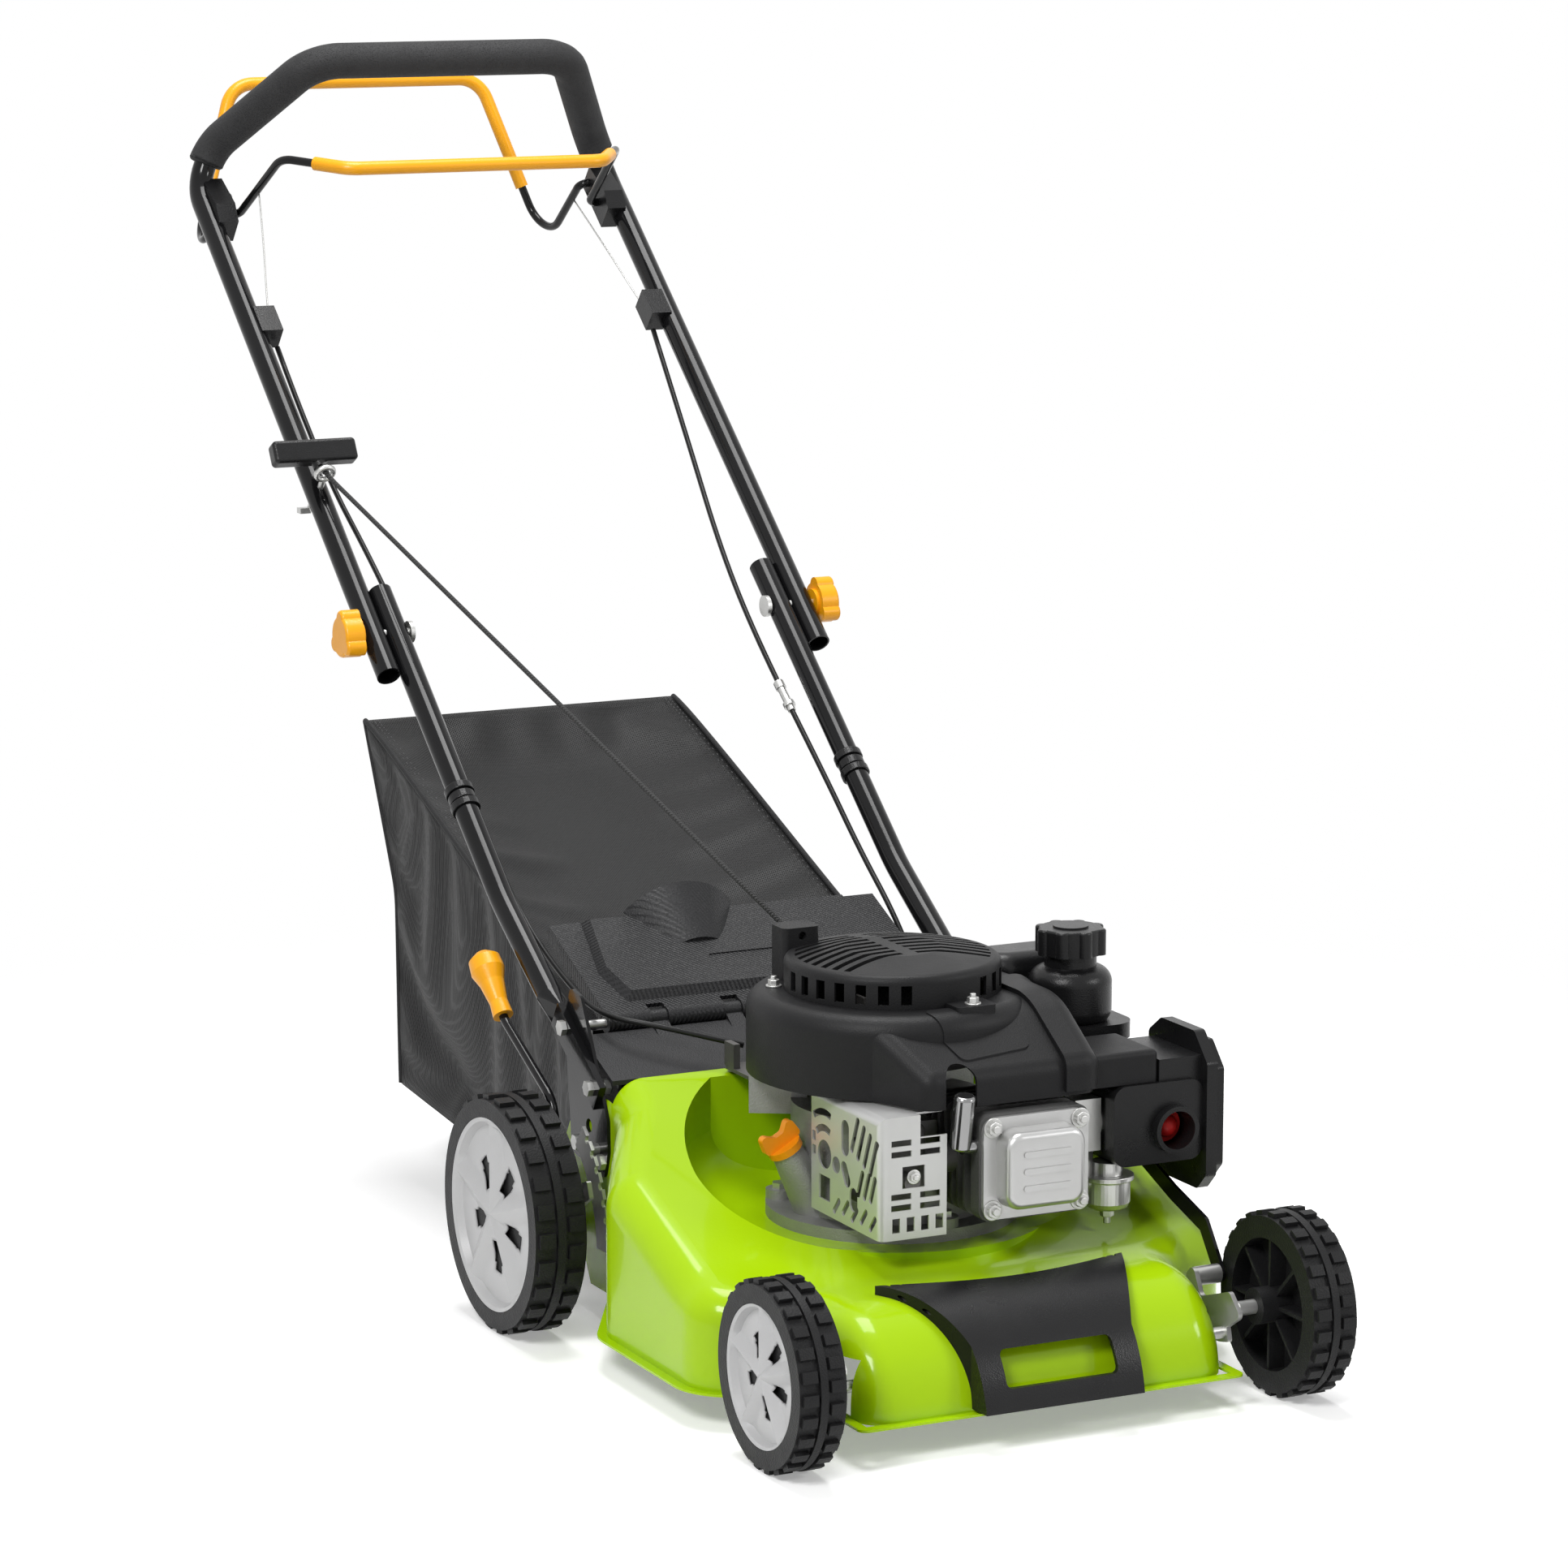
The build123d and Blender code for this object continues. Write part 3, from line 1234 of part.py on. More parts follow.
def make_air_filter_cover():
    """The ribbed snap-on filter cover on the left."""
    start = filter_x[1] - 14
    outline = [
        (filter_y[0] - 6, filter_z[0] + 8), (filter_y[0] + 8, filter_z[0] - 6),
        (filter_y[1] - 8, filter_z[0] - 6), (filter_y[1] + 8, filter_z[0] + 10),
        (filter_y[1] + 8, filter_z[1] - 6), (filter_y[1] - 12, filter_z[1] + 8),
        (filter_y[0] + 16, filter_z[1] + 8), (filter_y[0] - 6, filter_z[1] - 16),
    ]
    body = plate_x(outline, start, start + 10, 6)
    inner = [(y * 0.86 - 14.7, z * 0.86 + 29) for y, z in outline]
    body += plate_x(inner, start + 10, start + 20, 5)
    for z in (178, 204, 230):
        body += block((start + 10, start + 23), (filter_y[0] + 8, filter_y[1] - 6), (z, z + 12))
    return body


def make_carburettor():
    """The carburettor body, its float bowl and the intake flange on the head."""
    middle_y = -112.0
    body = disc_x(head_x[1], filter_x[0], middle_y, 206, 15)
    body += block((102, 126), (middle_y - 16, middle_y + 16), (184, 228))
    bowl = disc_z(112, middle_y, 150, 14, 34)
    bowl = fillet(bowl.edges().group_by(Axis.Z)[0], 5)
    return body + bowl + disc_z(112, middle_y, 142, 5, 8)


def make_spark_plug():
    """The plug in the head with its metal-shielded cap."""
    x = -16.0
    foot = (head_x[0], head_front_y + 8, 208)
    body = rod((x, head_front_y + 10, 206), (x, head_front_y + 2, 252), 9)
    body = fillet(body.edges(), 3)
    return body + rod(foot, (x, head_front_y + 8, 208), 6)


def make_governor():
    """The throttle bracket behind the engine where the brake cable ends."""
    plate = block((-84, -30), (92, 148), (216, 219), 6)
    plate += block((-84, -78), (128, 146), (219, 240))
    plate += block((-60, -40), (118, 122), (219, 236))
    plate += rod((-58, 88, 222), (-58, 70, 222), 4) & block((-90, 0), (0, 200), (216, 240))
    plate += block((-60, -32), (60, 96), (crankcase_top_z, 219))
    for k in range(2):
        plate += rod((-70 + 22 * k, 100, 219), (-70 + 22 * k, 100, 230), 4)
    return plate


def make_crankshaft():
    body = disc_z(
        0, 0, blade_z + blade_thickness + 14, crank_radius, shroud_top_z - 20 - blade_z - blade_thickness - 14
    )
    return body


def make_flywheel():
    """The fan-bladed flywheel under the blower housing."""
    z = shroud_z + 14
    body = disc_z(0, 0, z, 86, 16)
    for k in range(12):
        vane = Pos(66, 0, z + 24) * Box(34, 3, 20)
        body += Rot(0, 0, 30 * k) * vane
    return body - disc_z(0, 0, 0, crank_radius, 400)


def make_blade_adapter():
    """The hub on the crankshaft with the drive pulley, and the blade bolt."""
    base = blade_z + blade_thickness
    hub = disc_z(0, 0, base, 18, pulley_z + pulley_height + 4 - base)
    pulley = disc_z(0, 0, pulley_z - 2, pulley_radius + 5, pulley_height + 4)
    groove = disc_z(
        0, 0, pulley_z, pulley_radius + 20, pulley_height
    ) - disc_z(0, 0, pulley_z, pulley_radius, pulley_height)
    hub += pulley - groove
    hub += block((-30, 30), (-26, 26), (base, base + 6), 8)
    hub -= disc_z(0, 0, base + 14, crank_radius, 400)
    hub -= disc_z(0, 0, 0, 5, base + 14)
    bolt = disc_z(0, 0, blade_z - 8, 5, base + 14 - blade_z + 8)
    bolt += extrude(Plane.XY.offset(blade_z - 8) * RegularPolygon(9, 6), 8)
    return group(hub, bolt)


def make_blade():
    """The mower blade with ground edges and lifted sails."""
    bar = block(
        (-blade_radius, blade_radius),
        (-blade_width / 2, blade_width / 2),
        (blade_z, blade_z + blade_thickness),
        10,
    )
    edge = [
        (-blade_width / 2 - 1, blade_z - 1),
        (-blade_width / 2 + 9, blade_z - 1),
        (-blade_width / 2 - 1, blade_z + 4.5),
    ]
    ground = plate_x(edge, blade_radius * 0.52, blade_radius + 1)
    sail = plate_x(
        [(10, blade_z), (blade_width / 2, blade_z + 12), (blade_width / 2, blade_z + 16), (10, blade_z + 4)],
        blade_radius * 0.62,
        blade_radius - 12,
    )
    bar -= block((blade_radius * 0.62, blade_radius + 1), (12, blade_width), (0, 100))
    bar += sail
    bar -= ground
    far = Rot(0, 0, 180) * (bar & block((0, 400), (-100, 100), (0, 100)))
    bar = (bar & block((0, 400), (-100, 100), (0, 100))) + far
    return bar - disc_z(0, 0, 0, 5 + running, 400)


def make_gearbox():
    """The worm gearbox on the drive shaft, with its input boss under the pulley."""
    y, z = rear_pivot
    body = disc_x(-gearbox_half_length, gearbox_half_length, y, z, gearbox_radius)
    body = fillet(body.edges(), 5)
    body += disc_z(0, gearbox_pulley_y, z - 2, 16, pulley_z - z - 2) & block((-40, 40), (0, 260), (62, 200))
    body += block((-12, 12), (gearbox_pulley_y - 10, y), (z, z + 16))
    body += block((gearbox_half_length - 6, gearbox_half_length + 2), (y - 4, y + 6), (z + 15, 96))
    body -= disc_z(0, gearbox_pulley_y, z + 12, 7 + running, 60)
    return body - disc_x(-400, 400, y, z, drive_shaft_radius + running)


def make_gearbox_pulley():
    y = gearbox_pulley_y
    body = disc_z(0, y, pulley_z, gearbox_pulley_radius + 5, pulley_height)
    groove = disc_z(0, y, pulley_z + 1.5, 80, pulley_height - 3)
    groove -= disc_z(0, y, pulley_z + 1.5, gearbox_pulley_radius, pulley_height - 3)
    body -= groove
    return body + disc_z(0, y, rear_pivot[1] + 13, 7, pulley_z - rear_pivot[1] - 13)


def make_drive_belt():
    """The V-belt from the crank pulley to the gearbox pulley."""
    y = gearbox_pulley_y
    a = math.asin((gearbox_pulley_radius - pulley_radius) / y)
    def loop(extra):
        small = pulley_radius + extra
        large = gearbox_pulley_radius + extra
        c, s = math.cos(a), math.sin(a)
        first = [(small * c, -small * s), (large * c, y - large * s)]
        return make_face([
            Line(first[0], first[1]),
            ThreePointArc(first[1], (0, y + large), (-first[1][0], first[1][1])),
            Line((-first[1][0], first[1][1]), (-first[0][0], first[0][1])),
            ThreePointArc((-first[0][0], first[0][1]), (0, -small), first[0]),
        ])
    ring = loop(4.6) - loop(gap)
    return extrude(Plane.XY.offset(pulley_z + (pulley_height - belt_width + 1) / 2) * ring, belt_width - 1)


def make_drive_shaft():
    end = rear_arm_x + arm_thickness + 10
    return disc_x(-end, end, *rear_pivot, drive_shaft_radius)


# Door and catcher
door_sheet = 4.0
door_roll_radius = 9.0
door_step = 7.0
door_skirt = 14.0
hood_x = -36.0
hood_half_width = 52.0
hood_rise = 27.0
hood_depth = 52.0
badge_size = (116.0, 40.0)
badge_place = (20.0, 42.0)


def hood_form(inset):
    """The arched grip of the flap: an arch at its rear edge that narrows towards the hinge."""
    half = hood_half_width - inset
    rise = hood_rise - inset
    arch = make_face([
        ThreePointArc((-half, 0), (0, rise), (half, 0)),
        Polyline((half, 0), (half, -60), (-half, -60), (-half, 0)),
    ])
    return extrude(Plane.XZ * arch, hood_depth - inset, taper=24)


def make_door():
    """The rear flap: a rolled hinge edge, a stepped middle with chamfered sides and an arched grip."""
    run = Vector(0, door_rear_y - hinge_y, door_rear_z - hinge_z).normalized()
    length = math.hypot(door_rear_y - hinge_y, door_rear_z - hinge_z)
    place = Plane(origin=(0, hinge_y, hinge_z), x_dir=(1, 0, 0), z_dir=Vector(1, 0, 0).cross(run))
    top = door_roll_radius - 1
    half = door_half_width
    start = door_roll_radius + 1
    panel = block((-half, half), (start, length), (top - door_sheet, top))
    step = [(-half + 26, start + 6), (half - 26, start + 6), (half - 16, start + 48), (half - 30, length)]
    step += [(-half + 30, length), (-half + 16, start + 48)]
    step = make_face(Polyline(*step, close=True))
    panel += extrude(Plane.XY.offset(top) * step, door_step, taper=42)
    for x in (-half, half - door_sheet):
        panel += block((x, x + door_sheet), (start, length), (top - door_skirt, top))
    crown = top + door_step
    above = block((-half, half), (0, length), (crown - 1, 100))
    panel += (Pos(hood_x, length, crown) * hood_form(0.0)) & above
    panel -= Pos(hood_x, length - 2 * door_sheet, crown) * hood_form(2 * door_sheet)
    panel -= Pos(*badge_place, crown) * extrude(RectangleRounded(*badge_size, 4), -1.0)
    roll = rod((-half, 0, 0), (half, 0, 0), door_roll_radius)
    roll += block((-half, half), (0, start + 4), (top - door_sheet, top))
    for x in hinge_lugs:
        roll -= block((x - hinge_lug_width / 2, x + hinge_lug_width / 2), (-20, start), (-20, 20))
    door = place.location * (panel + roll)
    return door - disc_x(-400, 400, hinge_y, hinge_z, hinge_rod_radius + running)


bag_outline = [
    (bag_front_y, 114), (400, 92), (547, 78), (691, 86), (694, 274),
    (769, 426), (580, 356), (394, 284), (bag_front_y, 234),
]


def bag_form(inset):
    face = make_face(FilletPolyline(*bag_outline, radius=[0, 80, 80, 22, 60, 6, 200, 120, 0], close=True))
    face = offset(face, -inset) if inset else face
    half = bag_half_width - inset
    return extrude(Plane.YZ.offset(-half) * face, 2 * half)


def make_bag():
    body = bag_form(0.0)
    long_edges = [
        e for e in body.edges()
        if abs(abs(e.center().X) - bag_half_width) < 0.1 and e.center().Y > bag_front_y + 1
    ]
    body = fillet(long_edges, 8)
    mouth = block(
        (-bag_half_width + bag_wall, bag_half_width - bag_wall),
        (bag_front_y - 1, bag_front_y + 30), (119, 231),
    )
    return body - bag_form(bag_wall) - mouth


def make_bag_frame():
    """The stiff mouth frame with its two hooks."""
    low, high = 112.0, 236.0
    half = bag_half_width + 2
    frame = block((-half, half), (bag_front_y - 4, bag_front_y), (low, high))
    frame -= block((-half + 7, half - 7), (bag_front_y - 10, bag_front_y + 10), (low + 8, high - 8))
    return frame


NODES = {
    "deck_shell": make_deck(),
    "front_bumper": make_bumper(),
    "discharge_chute": make_chute(),
    "handle_brackets": group(make_bracket(), other_side(make_bracket())),
    "lower_handles": group(make_lower_handle(), other_side(make_lower_handle())),
    "fasteners": make_fasteners(),
    "height_rack": make_height_rack(),
    "gearbox_housing": make_gearbox(),
    "drive_belt": make_drive_belt(),
    "engine_base": make_engine_base(),
    "cylinder_block": make_cylinder_block(),
    "valve_cover": make_valve_cover(),
    "muffler": make_muffler(),
    "muffler_guard": make_muffler_guard(),
    "blower_shroud": make_shroud(),
    "recoil_cover": make_recoil_cover(),
    "fuel_tank": make_fuel_tank(),
    "air_filter_base": make_air_filter_base(),
    "air_filter_cover": make_air_filter_cover(),
    "carburettor": make_carburettor(),
    "spark_plug": make_spark_plug(),
    "governor_bracket": make_governor(),
    "starter_rope": make_starter_rope(),
    "control_cables": group(cable(brake_cable), cable(drive_cable)),
    "crankshaft": make_crankshaft(),
    "flywheel": make_flywheel(),
    "blade_adapter": make_blade_adapter(),
    "blade": make_blade(),
    "gearbox_pulley": make_gearbox_pulley(),
    "drive_shaft": make_drive_shaft(),
    "rear_axle": make_rear_axle(),
    "height_lever": make_height_lever(),
    "height_knob": make_height_knob(),
    "front_axle": make_front_axle(),
    "height_link": make_height_link(),
    "upper_handle": make_upper_handle(),
    "foam_grip": make_foam(),
    "lever_brackets": make_lever_brackets(),
    "rope_guide": make_rope_guide(),
    "brake_bail": make_brake_bail(),
    "brake_bail_cover": sleeve(brake_leg, brake_corner, 0.5, brake_bend),
    "drive_bail": make_drive_bail(),
    "drive_bail_cover": sleeve(drive_leg, drive_corner, 0.35, drive_bend),
    "knob_left": make_knob(1),
    "knob_right": make_knob(-1),
    "recoil_handle": make_recoil_handle(),
    "rear_door": make_door(),
    "catcher_bag": make_bag(),
    "catcher_frame": make_bag_frame(),
    "fuel_cap": make_fuel_cap(),
    "dipstick": make_dipstick(),
    "primer_bulb": make_primer_bulb(),
}

wheels = {
    "front": (front_wheel_radius, front_wheel_width, front_wheel_outer_x, front_axle_y),
    "rear": (rear_wheel_radius, rear_wheel_width, rear_wheel_outer_x, rear_axle_y),
}
for end, (radius, width, outer_x, y) in wheels.items():
    wheel = make_wheel(radius, width, outer_x, y, axle_radius + running)
    hubcap = make_hubcap(radius, outer_x, y)
    NODES[f"{end}_left_wheel"] = wheel
    NODES[f"{end}_left_hubcap"] = hubcap
    NODES[f"{end}_right_wheel"] = other_side(wheel)
    NODES[f"{end}_right_hubcap"] = other_side(hubcap)

os.makedirs("parts", exist_ok=True)
for name, shape in NODES.items():
    export_step(shape, f"parts/{name}.step")
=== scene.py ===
# %% [markdown]
# # A walk-behind lawn mower, dressed for its portrait
# The mower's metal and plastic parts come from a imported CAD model. This lesson
# gives every part its finish and makes the things that CAD is poor at: the grass
# bag, the foam grip, the cables, the starter rope and the small trim.

# %% Load the frame
import math

import bmesh
import bpy
from mathutils import Matrix, Vector


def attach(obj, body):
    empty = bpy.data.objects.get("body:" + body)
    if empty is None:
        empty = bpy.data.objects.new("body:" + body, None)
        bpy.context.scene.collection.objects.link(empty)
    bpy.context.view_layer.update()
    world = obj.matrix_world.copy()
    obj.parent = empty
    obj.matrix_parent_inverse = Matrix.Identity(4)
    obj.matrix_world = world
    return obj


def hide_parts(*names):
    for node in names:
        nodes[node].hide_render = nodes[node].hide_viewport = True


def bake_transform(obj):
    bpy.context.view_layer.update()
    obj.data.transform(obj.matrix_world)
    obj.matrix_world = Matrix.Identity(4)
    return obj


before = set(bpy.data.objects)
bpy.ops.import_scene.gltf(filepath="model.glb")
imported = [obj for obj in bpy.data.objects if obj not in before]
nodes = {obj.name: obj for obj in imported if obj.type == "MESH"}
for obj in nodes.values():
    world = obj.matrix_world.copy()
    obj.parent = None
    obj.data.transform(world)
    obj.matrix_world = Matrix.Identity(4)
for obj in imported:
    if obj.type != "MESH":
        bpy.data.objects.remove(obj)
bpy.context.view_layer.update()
print("parts in the frame:", len(nodes))

# %% [markdown]
# ## The camera
# The photograph was taken from the front right, a little above the engine, with a
# long lens. The camera's place was found from the wheels and the handle, so it is
# written here as a position and the three directions of the picture.

# %% Camera
camera_data = bpy.data.cameras.new("camera")
camera_data.lens = 120.78
camera_data.sensor_width = 36.0
camera = bpy.data.objects.new("camera", camera_data)
bpy.context.scene.collection.objects.link(camera)
camera_place = (-1.9503, -3.7633, 1.2580)
right = (0.8974, -0.4413, 0.0)
up = (0.0799, 0.1625, 0.9835)
back = (-0.4340, -0.8825, 0.1811)
turn = Matrix((right, up, back)).transposed().to_4x4()
camera.matrix_world = Matrix.Translation(camera_place) @ turn
bpy.context.scene.camera = camera
print("lens", camera_data.lens, "mm")

# %% [markdown]
# ## Shader maths as Python
# Node trees are easier to read as expressions. `Value` wraps one socket, so that
# `1 - mask * 0.5` adds its Math nodes by itself. `Finish` is a material whose other
# nodes all come from one method.


# %% Shader helpers
class Value:
    """One number that changes over a surface."""

    def __init__(self, finish, socket):
        self.finish = finish
        self.socket = socket

    def maths(self, operation, first, second):
        return self.finish.node("ShaderNodeMath", {"operation": operation}, {0: first, 1: second})

    def __add__(self, other):
        return self.maths("ADD", self, other)

    __radd__ = __add__

    def __mul__(self, other):
        return self.maths("MULTIPLY", self, other)

    __rmul__ = __mul__

    def __sub__(self, other):
        return self.maths("SUBTRACT", self, other)

    def __rsub__(self, other):
        return self.maths("SUBTRACT", other, self)

    def sine(self):
        return self.maths("SINE", self, 0)

    def step(self, low, high):
        """0 below low, 1 above high, and smooth between."""
        settings = {"interpolation_type": "SMOOTHSTEP"}
        sockets = {"Value": self, "From Min": low, "From Max": high}
        return self.finish.node("ShaderNodeMapRange", settings, sockets)


class Finish:
    """A material on one Principled shader, with a method that adds any node."""

    def __init__(self, name, **sockets):
        self.material = bpy.data.materials.new(name)
        self.material.use_nodes = True
        self.tree = self.material.node_tree
        self.shader = self.tree.nodes["Principled BSDF"]
        self.place = self.node("ShaderNodeTexCoord", {}, {}, "Object")
        for label, value in sockets.items():
            self.put(label.replace("_", " "), value)

    def node(self, kind, settings, sockets, output=0):
        made = self.tree.nodes.new(kind)
        for label, value in settings.items():
            setattr(made, label, value)
        for label, value in sockets.items():
            self.feed(made.inputs[label], value)
        return Value(self, made.outputs[output])

    def feed(self, socket, value):
        if isinstance(value, Value):
            self.tree.links.new(value.socket, socket)
        else:
            socket.default_value = value

    def put(self, label, value):
        self.feed(self.shader.inputs[label], value)

    def noise(self, scale, detail=2.0, stretch=(1, 1, 1)):
        where = self.node("ShaderNodeMapping", {}, {"Vector": self.place, "Scale": stretch})
        sockets = {"Vector": where, "Scale": scale, "Detail": detail}
        return self.node("ShaderNodeTexNoise", {}, sockets, "Fac")

    def cells(self, scale):
        sockets = {"Vector": self.place, "Scale": scale}
        return self.node("ShaderNodeTexVoronoi", {}, sockets, "Distance")

    def axis(self, letter):
        return self.node("ShaderNodeSeparateXYZ", {}, {"Vector": self.place}, letter)

    def tint(self, factor, first, second):
        sockets = {"Factor": factor, 6: (*first, 1), 7: (*second, 1)}
        return self.node("ShaderNodeMix", {"data_type": "RGBA"}, sockets, 2)

    def relief(self, height, depth):
        self.put("Normal", self.node("ShaderNodeBump", {}, {"Height": height, "Distance": depth}))


def dress(finish, *names):
    """Puts one finish on some of the frame's parts."""
    for name in names:
        mesh = nodes[name].data
        mesh.materials.clear()
        mesh.materials.append(finish.material)
    print(finish.material.name, "on", len(names), "parts")


# %% [markdown]
# ## Paint
# The deck is pressed steel under a bright green powder coat. Powder flows a little
# as it melts, which leaves a faint orange-peel ripple under a glassy skin. A slow
# noise shifts the colour by a few percent, and a fine one makes the ripple.


# %% Paint
def gloss_paint(name, colour, shade, rough, ripple):
    finish = Finish(name, Specular_IOR_Level=0.12, Coat_Roughness=0.04)
    cloud = finish.noise(9.0, 3.0)
    finish.put("Base Color", finish.tint(cloud, colour, shade))
    finish.put("Roughness", rough + finish.noise(60.0, 2.0) * 0.08)
    finish.put("Coat Weight", 0.14 + finish.noise(14.0) * 0.12)
    finish.relief(finish.noise(420.0, 1.0), ripple)
    return finish


leaf_green = ((0.38, 0.61, 0.003), (0.34, 0.56, 0.002))
deep_black = ((0.004, 0.004, 0.0045), (0.007, 0.007, 0.0075))
green_paint = gloss_paint("green_paint", *leaf_green, rough=0.16, ripple=0.00006)
black_paint = gloss_paint("black_paint", *deep_black, rough=0.1, ripple=0.00004)
dress(green_paint, "deck_shell")
dress(black_paint, "lower_handles", "upper_handle", "handle_brackets", "height_link", "height_lever")
dress(black_paint, "brake_bail", "drive_bail")

# %% [markdown]
# ## Moulded plastic
# Tool makers etch a grain into the mould so that finger marks do not show. Small
# cells give that leather-like grain, and a larger noise makes the sheen uneven.
# The rear door has fine slanted lines instead, from a sine across two axes.


# %% Plastics
def moulded_plastic(name, colour, shade, rough, grain, depth, shine=0.4):
    finish = Finish(name, Specular_IOR_Level=shine)
    finish.put("Base Color", finish.tint(finish.noise(25.0, 3.0), colour, shade))
    finish.put("Roughness", rough + finish.noise(40.0, 3.0) * 0.14)
    finish.relief(finish.cells(grain) + finish.noise(grain * 2, 1.0) * 0.5, depth)
    return finish


jet = ((0.006, 0.006, 0.0065), (0.009, 0.009, 0.0095))
charcoal = ((0.011, 0.011, 0.012), (0.017, 0.017, 0.018))
soot = ((0.011, 0.011, 0.012), (0.016, 0.016, 0.017))
yellow = ((0.94, 0.42, 0.006), (0.87, 0.36, 0.004))
orange = ((0.93, 0.33, 0.006), (0.85, 0.27, 0.004))
pale_grey = ((0.5, 0.5, 0.502), (0.45, 0.45, 0.455))
black_plastic = moulded_plastic("black_plastic", *jet, rough=0.22, grain=900.0, depth=0.0001, shine=0.26)
satin_plastic = moulded_plastic("satin_plastic", *jet, rough=0.4, grain=900.0, depth=0.00012, shine=0.2)
dark_plastic = moulded_plastic("dark_plastic", *charcoal, rough=0.38, grain=700.0, depth=0.0002, shine=0.24)
door_plastic = moulded_plastic("door_plastic", *soot, rough=0.36, grain=700.0, depth=0.0002, shine=0.24)
yellow_plastic = moulded_plastic("yellow_plastic", *yellow, rough=0.26, grain=500.0, depth=0.00005)
orange_plastic = moulded_plastic("orange_plastic", *orange, rough=0.26, grain=500.0, depth=0.00005)
pale_plastic = moulded_plastic("pale_plastic", *pale_grey, rough=0.3, grain=800.0, depth=0.00008)
slant = ((door_plastic.axis("X") + door_plastic.axis("Y")) * 1500).sine()
door_plastic.relief(slant + door_plastic.cells(700.0), 0.00025)
wheel_names = [f"{end}_{side}" for end in ("front", "rear") for side in ("left", "right")]
dress(black_plastic, "front_bumper", "fuel_tank", "fuel_cap", "air_filter_base", "air_filter_cover")
dress(black_plastic, "lever_brackets", "recoil_handle", "catcher_frame")
dress(satin_plastic, "blower_shroud", "recoil_cover")
dress(dark_plastic, "discharge_chute")
dress(door_plastic, "rear_door")
dress(yellow_plastic, "height_knob", "knob_left", "knob_right", "brake_bail_cover", "drive_bail_cover")
dress(orange_plastic, "dipstick")
dress(pale_plastic, *[f"{name}_hubcap" for name in wheel_names])

# %% [markdown]
# ## Bare metal
# Cast alloy keeps the sandy skin of its mould. The cylinder block gets a much darker
# copy of the same alloy: painted shade for the block, which sits between the muffler
# guard and the valve cover.
# Zinc-plated steel is soft and slightly cloudy, pressed covers are bright sheet with
# faint rolling lines, and iron is dark and dull. One function makes them all, and
# stretching its noise along one axis draws the rolling lines.


# %% Metals
def bare_metal(name, colour, shade, rough, spread, depth, grain, stretch=(1, 1, 1), metallic=0.9):
    finish = Finish(name, Metallic=metallic)
    finish.put("Base Color", finish.tint(finish.noise(30.0, 4.0), colour, shade))
    finish.put("Roughness", rough + finish.noise(120.0, 3.0, stretch) * spread)
    finish.relief(finish.noise(grain, 3.0, stretch), depth)
    return finish


cast_grey = ((0.34, 0.34, 0.335), (0.22, 0.22, 0.217))
# The next grey is the cast grey made much darker: painted shade for the cylinder block between the muffler
# guard and the valve cover.
painted_shade_grey = ((0.12, 0.12, 0.118), (0.07, 0.07, 0.069))
mirror_grey = ((0.3, 0.3, 0.3), (0.24, 0.24, 0.24))
zinc_white = ((0.6, 0.6, 0.585), (0.5, 0.5, 0.49))
sheet_white = ((0.56, 0.56, 0.555), (0.46, 0.46, 0.455))
guard_white = ((0.6, 0.6, 0.595), (0.52, 0.52, 0.515))
iron_brown = ((0.16, 0.155, 0.15), (0.1, 0.098, 0.095))
sandy = {"spread": 0.2, "depth": 0.0004, "grain": 700.0, "metallic": 0.6}
mirror = {"spread": 0.08, "depth": 0.00002, "grain": 300.0, "metallic": 0.95}
rolled = {"depth": 0.00004, "grain": 160.0, "stretch": (1, 1, 14)}
cast_alloy = bare_metal("cast_alloy", *cast_grey, rough=0.42, **sandy)
painted_shade_alloy = bare_metal("painted_shade_alloy", *painted_shade_grey, rough=0.45, **sandy)
polished = bare_metal("polished_shield", *mirror_grey, rough=0.1, **mirror)
zinc = bare_metal("zinc", *zinc_white, rough=0.28, spread=0.16, depth=0.00006, grain=500.0)
bright_sheet = bare_metal("bright_sheet", *sheet_white, rough=0.24, spread=0.16, metallic=0.75, **rolled)
guard_sheet = bare_metal("guard_sheet", *guard_white, rough=0.34, spread=0.14, metallic=0.5, **rolled)
dark_iron = bare_metal("dark_iron", *iron_brown, rough=0.5, spread=0.2, depth=0.0003, grain=600.0)
dress(cast_alloy, "engine_base", "gearbox_housing")
# The cylinder block wears the darker copy of the cast alloy as painted shade, not as a different metal.
dress(painted_shade_alloy, "cylinder_block")
dress(polished, "spark_plug")
dress(zinc, "fasteners", "height_rack", "drive_shaft", "rear_axle", "front_axle", "rope_guide")
dress(zinc, "carburettor", "crankshaft")
dress(bright_sheet, "valve_cover")
dress(guard_sheet, "muffler_guard")
dress(dark_iron, "governor_bracket", "muffler", "flywheel", "blade_adapter", "blade", "gearbox_pulley")

# %% [markdown]
# ## Rubber
# The tyres are moulded in a hard black compound. It is dull, and its skin has a
# fine pebble from the mould with a little grey dust where it rolls.


# %% Rubbers
def rubber(name, colour, shade, rough, grain, depth):
    finish = Finish(name, Specular_IOR_Level=0.2)
    finish.put("Base Color", finish.tint(finish.noise(50.0, 4.0), colour, shade))
    finish.put("Roughness", rough + finish.noise(90.0, 2.0) * 0.12)
    finish.relief(finish.cells(grain), depth)
    return finish


